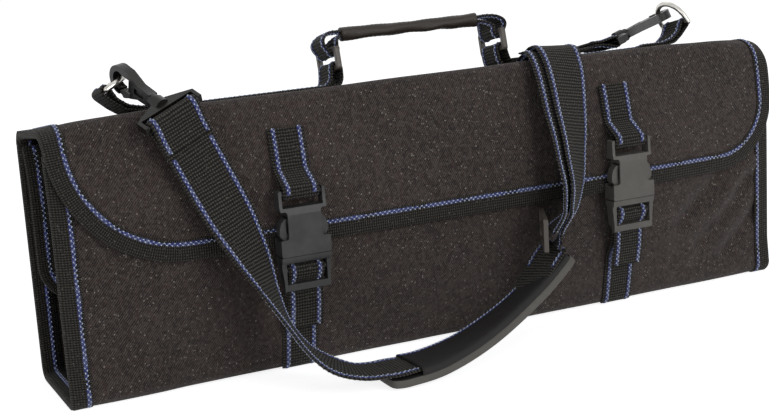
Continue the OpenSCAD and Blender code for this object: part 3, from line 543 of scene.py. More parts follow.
class SheetForm:
    # a surface of side views: x along the case, s the length along the side view from its start
    def __init__(self, pathOf, start=0.0):
        self.pathOf, self.start, self.known = pathOf, start, {}

    def rows(self, x):
        key = round(x, 2)
        if key not in self.known:
            path = self.pathOf(x)
            self.known[key] = (path, lengths(path))
        return self.known[key]

    def total(self, x):
        return self.rows(x)[1][-1] - self.start

    def side(self, x, s):
        # point, and the direction along the side view
        path, run = self.rows(x)
        s += self.start
        n = len(path) - 1
        lo = min(max(bisect_right(run, s) - 1, 0), n - 1)
        t = (s - run[lo]) / (run[lo + 1] - run[lo])
        p = [path[lo][k] + (path[lo + 1][k] - path[lo][k]) * t for k in (0, 1)]

        def way(i):
            a, b = path[max(i - 1, 0)], path[min(i + 1, n)]
            d = math.dist(a, b)
            return ((b[0] - a[0]) / d, (b[1] - a[1]) / d)
        wa, wb = way(lo), way(lo + 1)
        c = min(max(t, 0), 1)
        w = [wa[k] + (wb[k] - wa[k]) * c for k in (0, 1)]
        size = math.hypot(*w)
        return p, (w[0] / size, w[1] / size)

    def at(self, x, s, h=0.0):
        # the point a height h above the outer face
        p, w = self.side(x, s)
        return (x, p[0] - w[1] * h, max(p[1] + w[0] * h, 0.02))


lidForm = SheetForm(lidPath, 6.7)  # its own length starts at the flap's lower edge
bodyForm, leafForm = SheetForm(bodyPath), SheetForm(leafPath)


def ripple(x, s, seed, size):
    # low soft waves in the cloth, zero at the sewn edges
    a = math.sin(x / 31 + seed) * math.sin(s / 23 + seed * 2.1) + 0.6 * math.sin((x + s) / 17 + seed * 3.3)
    return size * a * 0.5


def fallsOff(x, s, low, high, edge=14):
    side = min(1, (case["halfLength"] - abs(x)) / edge)
    return max(0, min(side, 1, (s - low) / edge, (high - s) / edge))


def crease(x, q, start, end, wide, deep):
    # a soft fold from one point towards another
    length = math.dist(start, end)
    ax, aq = (end[0] - start[0]) / length, (end[1] - start[1]) / length
    along = (x - start[0]) * ax + (q - start[1]) * aq
    off = (q - start[1]) * ax - (x - start[0]) * aq
    past = max(-along, along - length, 0)
    return deep * max(0, 1 - past / wide) * math.exp(-(off / wide) ** 2)


def panelObject(name, form, sheet, xs, lowOf, steps, byHeight=False):
    # cloth from a lower edge to the form's end; folds are placed by length or, on the front, by height
    columns, uv = [], []
    for x in xs:
        lo, hi = lowOf(x), form.total(x)
        run = evenly(lo, hi, steps)
        column = []
        for s in run:
            lift = ripple(x, s, sheet["seed"], sheet["waves"])
            place = form.at(x, s)
            for fold in sheet["folds"] if not byHeight or place[1] < -30 else ():
                lift += crease(x, place[2] if byHeight else s, *fold)
            lift = min(lift, 3.2 * sheet["waves"]) * fallsOff(x, s, lo, hi)
            column.append(form.at(x, s, lift))
        columns.append(column)
        uv.append([(x * mm, s * mm) for s in run])
    return sheetObject(name, columns, uv, "caseFabric", sheet["thickness"])


def tapeObject(name, form, edge, inward, panel):
    # tape folded over an edge: edge is a list of (x, s), inward the way into the sheet at each
    width = case["tapeWidth"]
    section = [(width, 0.45), (width * 0.75, 0.5), (width * 0.4, 0.5), (1.6, 0.52), (0.5, 0.4), (-0.3, -0.1),
               (-0.62, -0.9), (-0.7, -panel / 2), (-0.62, -panel + 0.9), (-0.3, -panel + 0.1), (0.5, -panel - 0.4),
               (1.6, -panel - 0.5), (width * 0.4, -panel - 0.5), (width, -panel - 0.45)]
    across = lengths(section)
    columns, uv = [], []
    for (x, s), (nx, ns), r in zip(edge, inward, lengths(edge)):
        puff = 0.12 * math.sin(r / 5.3)
        columns.append([form.at(x + nx * d, s + ns * d, h + (puff if d > 2 and h > 0 else 0)) for d, h in section])
        uv.append([(a * mm, r * mm) for a in across])
    return sheetObject(name, columns, uv, "bindingTape", 0.55, 0.0)


def spaced(a, b, step):
    return evenly(a, b, max(2, round(abs(b - a) / step)))


# sheets with round lower corners: the lid and the leaf
def cornerRun(sheet, side, n=18):
    # quarter circle of a lower corner, from the end edge to the lower edge
    radius = sheet["radii"][side > 0]
    x0 = side * (sheet["edge"] - radius)
    out = []
    for i in range(n + 1):
        a = math.radians(90 * i / n)
        nx, ns = side * math.cos(a), -math.sin(a)
        out.append(((x0 + radius * nx, radius + radius * ns), (-nx, -ns)))
    return out


def skirtLoop(sheet, topLeft, topRight, step=3.0):
    # the edge from its top left down, along the lower edge and up to its top right, and the way inward
    edge, (left, right) = sheet["edge"], sheet["radii"]
    loop = [((-edge, s), (1, 0)) for s in spaced(topLeft, left, step)[:-1]] + cornerRun(sheet, -1)
    loop += [((x, 0.0), (0, 1)) for x in spaced(-edge + left, edge - right, step)[1:-1]]
    loop += cornerRun(sheet, 1)[::-1] + [((edge, s), (-1, 0)) for s in spaced(right, topRight, step)[1:]]
    return [q[0] for q in loop], [q[1] for q in loop]


def skirtColumns(sheet, step, n):
    edge, (left, right) = sheet["edge"], sheet["radii"]
    turn = [1 - math.cos(math.radians(90 * i / n)) for i in range(n + 1)]
    start, end = [-edge + left * t for t in turn], [edge - right * t for t in turn[::-1]]
    return start + spaced(start[-1], end[0], step)[1:-1] + end


def skirtPieces(key, form, sheet, cloths, tapes, ends, grid):
    # cloth and tape of a sheet with round lower corners; grid is the step, the turns and the rows of its mesh
    cloth = panelObject(key + "Cloth", form, sheet, skirtColumns(sheet, *grid[:2]), skirtLow(sheet), grid[2])
    finishPiece(cloth, key, cloths)
    edge, inward = skirtLoop(sheet, *ends)
    finishPiece(tapeObject(key + "Tape", form, edge, inward, sheet["thickness"]), key, tapes)
    return edge, inward


def skirtLow(sheet):
    def low(x):
        r = sheet["radii"][x >= 0]
        over = abs(x) - (sheet["edge"] - r)
        return r - math.sqrt(max(r * r - over * over, 0)) if over > 0 else 0.0
    return low


lid = {"edge": 255, "radii": (76, 47.3), "thickness": 3.5, "seamInset": 9.6, "seed": 1.3, "waves": 0.5,
       "folds": [((-150, 96), (40, 118), 20, -0.9), ((60, 60), (200, 84), 16, -0.7), ((-205, 80), (-150, 45), 9, -0.6),
                 ((120, 128), (215, 132), 12, -0.8), ((-225, 118), (-150, 129), 10, -0.9)]}
lidEnds = [lidForm.total(side * lid["edge"]) for side in (-1, 1)]
lidEdge, lidIn = skirtPieces("lid", lidForm, lid, ["flap_panel", "top_panel"], ["flap_binding", "top_binding"], lidEnds,
                             (4.0, 16, 84))
print("lid cloth and tape made")

# the body: back, bottom and front in one cloth
body = {"edge": 255, "thickness": 3.5, "seamInset": 9.6, "innerInset": 7, "tapeEnd": 0.4, "seed": 2.2, "waves": 0.45,
        "folds": [((238, 72), (190, 30), 5.5, -4.6), ((248, 50), (216, 20), 5, -3.6), ((230, 94), (176, 48), 6.5, -4.0),
                  ((150, 26), (124, 70), 9, -1.6), ((-20, 20), (60, 46), 16, -1.4), ((-190, 22), (-120, 60), 16, -1.4),
                  ((224, 62), (180, 22), 5, 2.4), ((242, 84), (204, 50), 5, 2.2)]}
bodyXs = spaced(-body["edge"], body["edge"], 4.0)
bodyCloth = panelObject("bodyCloth", bodyForm, body, bodyXs, lambda x: 0.0, 130, byHeight=True)
finishPiece(bodyCloth, "case", ["back_panel", "bottom_panel", "front_panel"])
endEdges = {}
for side, name in ((-1, "bodyTapeLeft"), (1, "bodyTapeRight")):
    x = side * body["edge"]
    run = [(x, s) for s in spaced(body["tapeEnd"], bodyForm.total(x) - body["tapeEnd"], 2.6)]
    endEdges[side] = run
    tape = tapeObject(name, bodyForm, run, [(-side, 0)] * len(run), body["thickness"])
    finishPiece(tape, "case", ["back_binding", "front_binding"] if side < 0 else [])
print("body cloth and tapes made")

# the leaf that covers the blades
leaf = {"edge": 253.3, "radii": (23.3, 23.3), "thickness": 2.4, "seamInset": 6.2, "seed": 0.7, "waves": 0.3,
        "folds": ()}
leafTop = leafForm.total(0) - 1
leafEdge, leafIn = skirtPieces("leaf", leafForm, leaf, ["inner_leaf"], ["leaf_binding"], (leafTop, leafTop),
                               (6.0, 8, 40))
print("leaf made")

# cloth across the lid's hinge, round the back's top corner
hinge = {"start": (0, 37.63, 154.84), "end": (0, 36.72, 156.02), "thickness": 0.5, "clothLift": 0.35, "tapeLift": 0.95,
         "angles": (12, 66)}
tapeXs = (242.6, 246, 250, 253, 255.6)
for name, xs, lift, material, slotName in (
        ("lidHinge", spaced(-242.5, 242.5, 6), hinge["clothLift"], "caseFabric", "case_fabric"),
        ("lidHingeLeft", [-x for x in tapeXs[::-1]], hinge["tapeLift"], "bindingTape", "binding"),
        ("lidHingeRight", tapeXs, hinge["tapeLift"], "bindingTape", "binding")):
    columns, uv = [], []
    for x in xs:
        corner, radius = backArc(x)
        side = arcPoints(corner, radius + lift, *hinge["angles"], 18)
        columns.append([(x, y, z) for y, z in side])
        uv.append([(x * mm, r * mm) for r in lengths(side)])
    strip = sheetObject(name, columns, uv, material, hinge["thickness"], 0)
    blend(finishPiece(strip, None, []), "case", "lid", hinge["start"], hinge["end"])
print("hinge cloth made")


# webbing and strap
def rounded(points, step=0.8, passes=3):
    # even out a given line and round its corners
    run = lengths(points)
    n = max(4, round(run[-1] / step))
    out = []
    for i in range(n + 1):
        r = run[-1] * i / n
        k = segment(run, r)
        t = (r - run[k]) / (run[k + 1] - run[k])
        out.append([a + (b - a) * t for a, b in zip(points[k], points[k + 1])])
    for _ in range(passes):
        middle = [[(a + 2 * b + c) / 4 for a, b, c in zip(*trio)] for trio in zip(out, out[1:], out[2:])]
        out = [out[0]] + middle + [out[-1]]
    return out


upper = [(-0.5, 0.0), (-0.494, 0.3), (-0.47, 0.47), (-0.43, 0.5), (-0.2, 0.5), (0, 0.5), (0.2, 0.5), (0.43, 0.5),
         (0.47, 0.47), (0.494, 0.3)]
section = upper + [(-a, -h) for a, h in upper]


def ribbonFrames(stations, cut=False):
    # centre, width direction, normal, width and run of each station
    centres = [Vector(s[0]) for s in stations]
    run, frames = 0, []
    for i, (p, wide, width) in enumerate(stations):
        way = (centres[min(i + 1, len(centres) - 1)] - centres[max(i - 1, 0)]).normalized()
        normal = Vector(wide).cross(way).normalized()
        across = Vector(wide).normalized() if cut else way.cross(normal).normalized()
        if i:
            run += (centres[i] - centres[i - 1]).length
        frames.append((centres[i], across, normal, width, run))
    return frames


def tubeObject(name, loops, uvs, material):
    # closed loops along a path, with a fan on each end
    m = len(loops[0])
    verts = [tuple(p) for loop in loops for p in loop]
    faces, corners = [], []
    for i in range(len(loops) - 1):
        for j in range(m):
            k = (j + 1) % m
            faces.append((i * m + j, i * m + k, (i + 1) * m + k, (i + 1) * m + j))
            corners.append((uvs[i][j], uvs[i][j + 1], uvs[i + 1][j + 1], uvs[i + 1][j]))
    for end, order in ((0, -1), (len(loops) - 1, 1)):
        verts.append(tuple(sum(c) / m for c in zip(*loops[end])))
        middle = tuple(sum(c) / m for c in zip(*uvs[end][:m]))
        for j in range(m):
            a, b = (j, (j + 1) % m)[::order]
            faces.append((end * m + a, end * m + b, len(verts) - 1))
            corners.append((uvs[end][j], uvs[end][(j + 1) % m], middle))
    return flipIfInside(meshObject(name, verts, faces, corners, material))


def ribbonObject(name, frames, thickness, material):
    loops, uvs = [], []
    spread = lengths([(a, b * thickness / 25) for a, b in section + section[:1]])
    for centre, across, normal, width, run in frames:
        loops.append([centre + across * (a * width) + normal * (h * thickness) for a, h in section])
        uvs.append([(q * width * mm, run * mm) for q in spread])
    return tubeObject(name, loops, uvs, material)


seams = {}
seamRule = {"pitch": 1.6, "swing": 1.05, "start": 0.6, "lowest": 0.8, "height": 0.72, "knotIn": 0.4,
            "knotTurn": 0.3}


# each part of a stitch: height above the cloth, shade, and size in its own unit
stitchParts = {"ground": (0.02, 0, (0.55, 3.5, 0.5)), "zigzag": (0.14, 0.15, (1.1, 0.95, 0.9)),
               # the knot's shade of 1 paints a highlight on it
               "knot": (0.36, 1, (0.40, 1.0, 1))}


def sew(home, points, ups):
    # a dense zigzag of deep blue, with a pale knot at each turn whose pale colour is a painted highlight
    run = lengths(points)
    rows = seams.setdefault(home, [])
    pitch, swing, start = seamRule["pitch"], seamRule["swing"], seamRule["start"]
    long = math.hypot(pitch, swing * 2) / 3
    for i in range(int((run[-1] - 2 * start) / pitch) + 1):
        r = start + pitch * i
        k = segment(run, r)
        t = (r - run[k]) / max(run[k + 1] - run[k], 1e-6)
        p = Vector(points[k]).lerp(Vector(points[k + 1]), t)
        way = (Vector(points[k + 1]) - Vector(points[k])).normalized()
        up = Vector(ups[k]).lerp(Vector(ups[k + 1]), t).normalized()
        if p.z < seamRule["lowest"]:
            continue  # under the case
        side = up.cross(way).normalized()
        turn = 1 if i % 2 else -1
        along = (way * pitch + side * turn * swing * 2).normalized()
        corner = p + way * (pitch / 2) + side * turn * (swing - seamRule["knotIn"])
        for part, place, lay, unit in (("ground", p, way, (pitch, swing, 1)), ("zigzag", p, along, (long, 1, 1)),
                                       ("knot", corner, way + side * seamRule["knotTurn"] * turn, (1, 1, 1))):
            lift, shade, size = stitchParts[part]
            rows.append((place + up * lift, lay, up, shade, [a * b for a, b in zip(unit, size)]))


def sewRibbon(home, frames, cord, *sides):
    # two seams on each named side of a webbing, 1 or -1 along its normal
    for edge in (-1, 1):
        for face in sides:
            points = [c + a * edge * (w / 2 - cord["inset"]) + n * face * cord["thickness"] / 2
                      for c, a, n, w, r in frames]
            sew(home, points, [n * face for c, a, n, w, r in frames])


def sewSheet(home, form, edge, inward, inset, panel=None):
    # along a tape, on the outer face, or on the inner face of a panel of that thickness
    h = seamRule["height"] if panel is None else -panel - seamRule["height"]
    near, far = ([form.at(x + nx * inset, s + ns * inset, lift) for (x, s), (nx, ns) in zip(edge, inward)]
                 for lift in (h, h * 2))
    sew(home, near, [Vector(b) - Vector(a) for a, b in zip(near, far)])


for panel in (None, lid["thickness"]):
    sewSheet("lid", lidForm, lidEdge, lidIn, lid["seamInset"], panel)
for side, run in endEdges.items():
    for inset, panel in ((body["seamInset"], None), (body["innerInset"], body["thickness"])):
        sewSheet("case", bodyForm, run, [(-side, 0)] * len(run), inset, panel)
for panel in (None, leaf["thickness"]):
    sewSheet("leaf", leafForm, leafEdge, leafIn, leaf["seamInset"], panel)

webbing = {"width": 23.4, "thickness": 1.4, "inset": 3.3, "buckleX": 117.5, "shift": 6, "buckleY": -59.3218,
           "wrap": 3.05, "socketTop": 117.5, "socketBar": 114.9, "plugBar": 68.1, "plugBottom": 55.1, "upperEnd": 152,
           "pathX": 99}


def webFrontY(z):
    return frontY(z, webbing["pathX"])


def upperWebbing():
    w, t, by = webbing, webbing["thickness"], webbing["buckleY"]
    low, high = evenly(w["upperEnd"] - 6, w["socketTop"] + 9, 3), evenly(w["socketTop"] + 10, w["upperEnd"], 3)
    off = case["flapOffset"]
    return ([(webFrontY(z) - off - t / 2 - 0.25, z) for z in low] + [(by + w["wrap"], w["socketTop"] + 1.5)]
            + arcPoints((by, w["socketBar"]), w["wrap"], 0, -180, 12) + [(by - w["wrap"], w["socketTop"] + 1.5)]
            + [(webFrontY(z) - off - t * 1.5 - 0.35, z) for z in high])


def lowerWebbing():
    w, by = webbing, webbing["buckleY"]
    return (arcPoints((-32, 8), 8 + w["thickness"] / 2 + 0.25, 232, 188, 6)
            + [(webFrontY(z) - w["thickness"] / 2 - 0.25, z) for z in (16, 23, 30)]
            + [(webFrontY(36) - 1.6, 37), (by + 6.9, 45), (by + 4.9, 53), (by + w["wrap"] + 0.6, 60)]
            + arcPoints((by, w["plugBar"]), w["wrap"], 0, 180, 12)
            + [(by - w["wrap"] + 0.3, w["plugBar"] - 2.2), (by - 0.7, w["plugBar"] - 5.4),
               (by + 1.7, w["plugBottom"] + 4.6), (by + 2.1, w["plugBottom"] + 0.5), (by + 3.2, 44), (by + 5, 36),
               (by + 6.2, 30)])


def webPiece(name, path, place, wide, on, node):
    frames = ribbonFrames([(place(p), wide, webbing["width"]) for p in rounded(path)])
    finishPiece(ribbonObject(name, frames, webbing["thickness"], "narrowWebbing"), on, [node])
    return frames


def towards(frame, axis):
    # the side of a webbing, 1 or -1, that looks along an axis
    return 1 if frame[2][axis] > 0 else -1


for side, name in ((-1, "left"), (1, "right")):
    x = webbing["shift"] + side * webbing["buckleX"]
    for kind, path, on, turned in (("upper", upperWebbing(), "lid", 1), ("lower", lowerWebbing(), "case", -1)):
        frames = webPiece(kind + "Webbing" + name.title(), path, lambda p: (x, p[0], p[1]), (1, 0, 0), on,
                          f"{kind}_webbing_{name}")
        half = len(frames) // 2
        sewRibbon(on, frames[half:], webbing, -towards(frames[-4], 1))
        sewRibbon(on, frames[:half - 8], webbing, turned * towards(frames[6], 1))
print("buckle webbings made")

slope = math.radians(case["topSlope"])
topAcross = (0, math.cos(slope), -math.sin(slope))


def onTop(x, v, n):
    return (x, v * math.cos(slope) + n * math.sin(slope), case["topHeight"] - v * math.sin(slope) + n * math.cos(slope))


handle = {"ringX": 60, "ringEnd": 209, "tabN": 12, "tabR": 3.464, "anchorR": 2.85, "anchorN": 15,
          "anchorY": 12.5, "ridgeY": -28.6716, "sewn": 0.2}


def sink(x):
    # how far the top sinks under an anchor towards the open end
    back = case["backCentre"][0]
    return max(droop(x) * (back - handle["anchorY"]) / (back - handle["ridgeY"]) - handle["sewn"], 0)


def anchorPath():
    return ([(-36, 0.7), (-20, 0.7), (-11, 2.2), (-5, 6.4)]
            + arcPoints((0, handle["anchorN"]), handle["anchorR"], -45, 135, 12)
            + [(-6.2, 9.2), (-12.5, 4.4), (-21, 2.3), (-37, 2.3), (-43, 0.8), (-134, 0.8)])


def tabPath():
    r = handle["tabR"]
    return ([(13.6, 0.8), (8.4, 0.8), (4.6, 4.4), (r, 10)] + arcPoints((0, handle["tabN"]), r, 0, 180, 12)
            + [(-r, 10), (-3, 4.4), (-1, 0.8), (5.4, 0.8)])


# place across the ring, height over the top, and width
handleSide = [(-9.7, 32.6, 8), (-7.2, 31.6, 12), (-4.9, 29.9, 18)]
handleSide += [(*p, webbing["width"]) for p in (
    (-3.4, 27.9), (-3.2, 25.6), (-3.464, 23.4), (-1.8, 20.436), (1.8, 20.436), (3.464, 23.4), (5.2, 26), (5.9, 28.9))]
handleSide += [(4.6, 31.8, 22), (1.2, 34.2, 18), (-4, 35.4, 13), (-9.7, 35.4, 9)]


for side, name in ((-1, "left"), (1, "right")):
    def endPlace(p):
        x = side * handle["ringEnd"] + side * p[0]
        return onTop(x, 0, p[1] - sink(x))

    def besideRing(p):
        return onTop(side * (handle["ringX"] + p[0]), 0, p[1])
    frames = webPiece("anchor" + name.title(), anchorPath(), endPlace, topAcross, "lid", f"anchor_{name}")
    sewRibbon("lid", frames[len(frames) // 4:], webbing, towards(frames[-4], 2))
    frames = webPiece("handleTab" + name.title(), tabPath(), besideRing, topAcross, "lid", f"handle_tab_{name}")
    sewRibbon("lid", frames, webbing, towards(frames[3], 2))
    frames = ribbonFrames([(besideRing(q), topAcross, q[2]) for q in smoothed(handleSide, 6)])
    finishPiece(ribbonObject("handleWebbing" + name.title(), frames, webbing["thickness"], "narrowWebbing"), "handle",
                [f"handle_webbing_{name}"])
    sewRibbon("handle", frames, webbing, 1, -1)
print("handle webbings and anchors made")


def bell(x, centre, wide):
    return math.exp(-((x - centre) / wide) ** 2)


# lumps: place, width and height; creases: height, turns round the grip and rate along it
grip = {"length": 100, "radius": 4.8, "n": 34, "waist": 0.9, "lip": 0.30, "lipFrom": 0.975, "shrink": 0.15,
        "lumps": ((-14, 6, 0.55), (12, 8, 0.495), (31, 5, 0.33), (-1, 5, -0.35)),
        "creases": ((0.16, 3, 1 / 7), (0.10, 2, 1 / 2.9), (0.06, 1, 1.9))}


def gripObject():
    # a soft tube pulled over the webbing: pinched, lumpy below and ribbed lengthwise
    m, end = 48, grip["lipFrom"]
    loops, uvs = [], []
    for u in evenly(-1, 1, 100):
        x = u * grip["length"] / 2
        waist = grip["radius"] - grip["waist"] * (1 - u * u)
        lip = 1 - grip["lip"] * max(0, (abs(u) - end) / (1 - end)) ** 2
        bumps = sum(high * bell(x, place, wide) for place, wide, high in grip["lumps"])
        loop, row = [], []
        for j in range(m):
            a = 2 * math.pi * j / m
            folds = sum(high * math.sin(a * turns + x * rate) for high, turns, rate in grip["creases"])
            r = (waist + max(0, -math.sin(a)) * bumps + folds - grip["shrink"]) * lip
            loop.append(onTop(x, r * math.cos(a), grip["n"] + r * math.sin(a)))
            row.append((r * a * mm, x * mm))
        loops.append(loop)
        uvs.append(row + [(grip["radius"] * 2 * math.pi * mm, x * mm)])
    return tubeObject("grip", loops, uvs, "gripCover")


finishPiece(gripObject(), "handle", ["handle_grip"])

strap = {"width": 34, "thickness": 1.5, "inset": 3.3, "loopRadius": 3.15, "foldWidth": 48.08, "foldX": 88}
# the bar of each hook's swivel: place, the way the loop hangs, and the way across it
leftBar, leftHang = (-181.965, -48.58, 169.611), (0.394055, -0.094573, -0.914208)
leftAcross = (0.909522, 0.183256, 0.373078)
rightBar, rightHang = (157.989, 16.251, 169.907), (-0.999457, 0.032111, -0.007418)
rightAcross = (0.032957, 0.97381, -0.224961)


def loopStations(place, hang, across):
    a, x, o = Vector(hang), Vector(across), Vector(place)
    y, r = (-a).cross(x), strap["loopRadius"]
    path = ([(1.1, -20), (1.1, -12), (r, -3)] + arcPoints((0, 0), r, 0, 180, 12)
            + [(-r, -3), (-1.1, -12), (-1.1, -20)])
    return [(o + y * p[0] - a * p[1], across, strap["width"]) for p in rounded(path)]


def stationList(*rows, width=strap["width"]):
    # rows of place, width direction and, where it differs, width
    return [(row[:3], row[3:6], row[6] if len(row) > 6 else width) for row in rows]


frontStations = stationList(
    (-176.05, -50.0, 155.9, *leftAcross), (-173.611, -50.585, 150.23, *leftAcross),
    (-165.415, -52.552, 131.214, *leftAcross), (-157, -59, 110, 0.97, 0.12, -0.06), (-147, -66, 84, 0.8, 0.55, 0.14),
    (-140, -74, 61, 0.5, 0.85, 0.1), (-134, -81, 44, 0.4, 0.88, -0.2), (-125, -87, 28, 0.35, 0.92, -0.12),
    (-113, -95, 17, 0.35, 0.93, 0), (-99, -100, 11.4, 0.2, 0.98, 0))
padStations = stationList(
    (-84, -101, 4.6, -0.06, 0.99, 0, 32), (-74, -101, 4.6, -0.08, 0.99, 0), (-50, -100, 5.4, -0.16, 0.98, -0.1),
    (-13, -91, 11.4, -0.19, 0.94, -0.26), (29, -78, 25.4, -0.18, 0.9, -0.39), (56, -70, 40.8, -0.18, 0.9, -0.39, 34),
    (64, -68, 47.2, -0.18, 0.89, -0.38, 28), width=37)
riseStations = stationList(
    (53.6, -69.6, 53, 0.1, 0.99, 0), (59.4, -69.4, 58, 0.5, 0.86, 0), (65, -69, 67, 0.6, 0.8, 0),
    (73, -69, 78, 0.66, 0.75, 0), (77.4, -68, 94, 0.7, 0.71, 0), (80, -63, 113, 0.8, 0.6, 0),
    (81.6, -59.4, 127, 0.86, 0.5, 0), (83, -54.4, 142, 0.92, 0.38, 0), (84.6, -48.6, 158, 0.95, 0.28, 0),
    (86, -42.4, 169, 0.97, 0.18, -0.08), (87, -34, 177.6, 0.98, 0.08, -0.1), (88, -24, 178.6, 0.99, 0.02, -0.06),
    (88, -15, 174.4, 1, 0, 0))
padRule = {"half": 3.0, "edge": 0.86, "endRun": 2.2, "endWide": 0.86, "crown": 0.10, "round": (0.16, 0.22)}
sleeve = {"from": 0.11, "to": 0.985, "width": 36.4, "rise": 3.3, "cloth": 0.8, "top": 2.7, "over": 37, "seam": 4.2,
          "clear": 1.4}


def padTop(i):
    # a station of the strap on the pad and its sleeve
    p, wide = Vector(padStations[i][0]), Vector(padStations[i][1])
    n = wide.cross(Vector(padStations[i + 1][0]) - Vector(padStations[max(i - 1, 0)][0])).normalized()
    lift = padRule["half"] + sleeve["clear"] + strap["thickness"] / 2
    return (tuple(p - n * lift), tuple(wide), strap["width"])


def behind(i):
    # a station of the return run, beside and behind the main run
    q, w = Vector(riseStations[i][0]), Vector(riseStations[i][1]).normalized()
    n = (Vector(riseStations[i + 1][0]) - Vector(riseStations[i - 1][0])).cross(w).normalized()
    return (tuple(q - 7 * w + 3.5 * n), tuple(w), strap["width"])


def spunStations(stations, k=8):
    flat = smoothed([tuple(s[0]) + tuple(s[1]) + (s[2],) for s in stations], k)
    return [(q[:3], q[3:6], q[6]) for q in flat]


onRidge = (onTop(strap["foldX"], -8, 3), (1, 0, 0), strap["width"])
mainStations = [padTop(i) for i in range(5)] + riseStations + [onRidge]
returnStations = stationList((55, -69, 66.5, 0.45, 0.89, 0)) + [behind(i) for i in range(3, 12)]
diagonal = (0.7071, 0.7071, 0, strap["foldWidth"])
foldLine = stationList((88, -7.6, 2.9, 1, 0, 0), (88, -3.6, 2.9, 1, 0, 0), (88, 15, 2.9, *diagonal),
                       (87.2, 15.8, 3.85, *diagonal), (88, 15, 4.8, *diagonal), (106.6, 15, 4.8, 0, 1, 0),
                       (136.789, 15, 6, 0, 1, 0))
foldStations = [(onTop(*p), tuple(Vector(onTop(*w)) - Vector(onTop(0, 0, 0))), width) for p, w, width in foldLine]
# each run's name, stations, solid, and whether its ends are cut along their width; the front run carries on to
# where the main run starts on the pad
strapPieces = (("strapFront", spunStations(frontStations + [padTop(0)]), "strap_front", False),
               ("strapMain", spunStations(mainStations), "strap_main", False),
               ("strapReturn", spunStations(returnStations), "strap_return", False),
               ("strapFold", foldStations, "strap_fold", True),
               ("strapLoopLeft", loopStations(leftBar, leftHang, leftAcross), "strap_loop_left", False),
               ("strapLoopRight", loopStations(rightBar, rightHang, rightAcross), "strap_loop_right", False))
# each end of the strap turns with its D-ring, and the part at the pad slides with the pad
follows = {"strapLeft": ("lid", "dring_left", (-165.4, -52.6, 131.2), (-174.1, -50.5, 151.3)),
           "strapRight": ("lid", "dring_right", (110, 15.5, 169), (138, 16.9, 169.8)),
           "strapLow": ("lid", "shoulder_pad", (-140, -74, 61), (-100, -100, 12)),
           "strapPad": ("shoulder_pad", "lid", (44, -73, 36), (64, -69, 66))}
ends = {"strapFront": "strapLeft", "strapFrontLow": "strapLow", "strapMain": "strapPad", "strapFold": "strapRight",
        "strapLoopLeft": "swivel_left", "strapLoopRight": "swivel_right"}
# where stitches don't show: under the pad's sleeve, against the pad, and between the loop's two plies
hidden = {"sleeve": (-66, 44), "pad": 62, "plies": 150}
lowFrom = 64  # height at which the front run starts to follow the pad


def finishFollower(obj, home, nodes):
    finishPiece(obj, None if home in follows else home, nodes)
    if home in follows:
        blend(obj, *follows[home])


def strapRun(name, frames, node, cut):
    home = ends.get(name, "lid")
    finishFollower(ribbonObject(name, frames, strap["thickness"], "wideWebbing"), home, [node])
    sides = (1, -1)
    if name == "strapMain":
        left, right = hidden["sleeve"]
        for low, high in ((-math.inf, left), (right, hidden["pad"] + 1)):
            sewRibbon(home, [f for f in frames if low < f[0].x < high], strap, -1)
        frames = [f for f in frames if f[0].x > hidden["pad"]]
    if name == "strapFront":
        frames = [f for f in frames if f[0].z < hidden["plies"]]
    if "Loop" in name:
        mid = frames[len(frames) // 2]
        out = mid[0] - Vector(leftBar if "Left" in name else rightBar)
        sides = (1 if mid[2].dot(out) > 0 else -1,)
    if not cut:
        sewRibbon(home, frames, strap, *sides)


for name, stations, node, cut in strapPieces:
    frames = ribbonFrames(stations, cut)
    if name == "strapFront":
        low = next(i for i, f in enumerate(frames) if f[0].z < lowFrom)
        strapRun("strapFrontLow", frames[low:], node, cut)
        frames = frames[:low + 1]
    strapRun(name, frames, node, cut)
print("strap made")

padFrames = ribbonFrames(spunStations(padStations, 12))


def padObject():
    # a flat pad of two dark covers on a grey rubber core
    ring = []
    side, top = padRule["round"]
    for a in range(0, 360, 10):
        c, s = math.cos(math.radians(a)), math.sin(math.radians(a))
        ring.append((math.copysign(abs(c) ** side, c) / 2, math.copysign(abs(s) ** top, s)))
    loops, uvs = [], []
    last = padFrames[-1][4]
    for centre, across, normal, width, run in padFrames:
        near = min(1, min(run, last - run) / padRule["endRun"])
        end = min(1, padRule["endWide"] + (1 - padRule["endWide"]) * math.sqrt(max(0, near)))
        high = padRule["half"] * end
        loops.append([centre + across * (a * width * end) + normal * (h * high * (1 - padRule["crown"] * (2 * a) ** 4))
                      for a, h in ring])
        uvs.append([(a * width * mm, run * mm) for a, h in ring + ring[:1]])
    obj = tubeObject("shoulderPad", loops, uvs, "padCover")
    obj.data.materials.append(finish["padEdge"])
    m = len(ring)
    for index, poly in enumerate(obj.data.polygons):
        j = index % m
        middle = (ring[j][1] + ring[(j + 1) % m][1]) / 2
        core = index >= (len(loops) - 1) * m or abs(middle) < padRule["edge"]
        poly.material_index = 1 if core else 0
    return obj


pad = padObject()
finishPiece(pad, "shoulder_pad", ["shoulder_pad"])


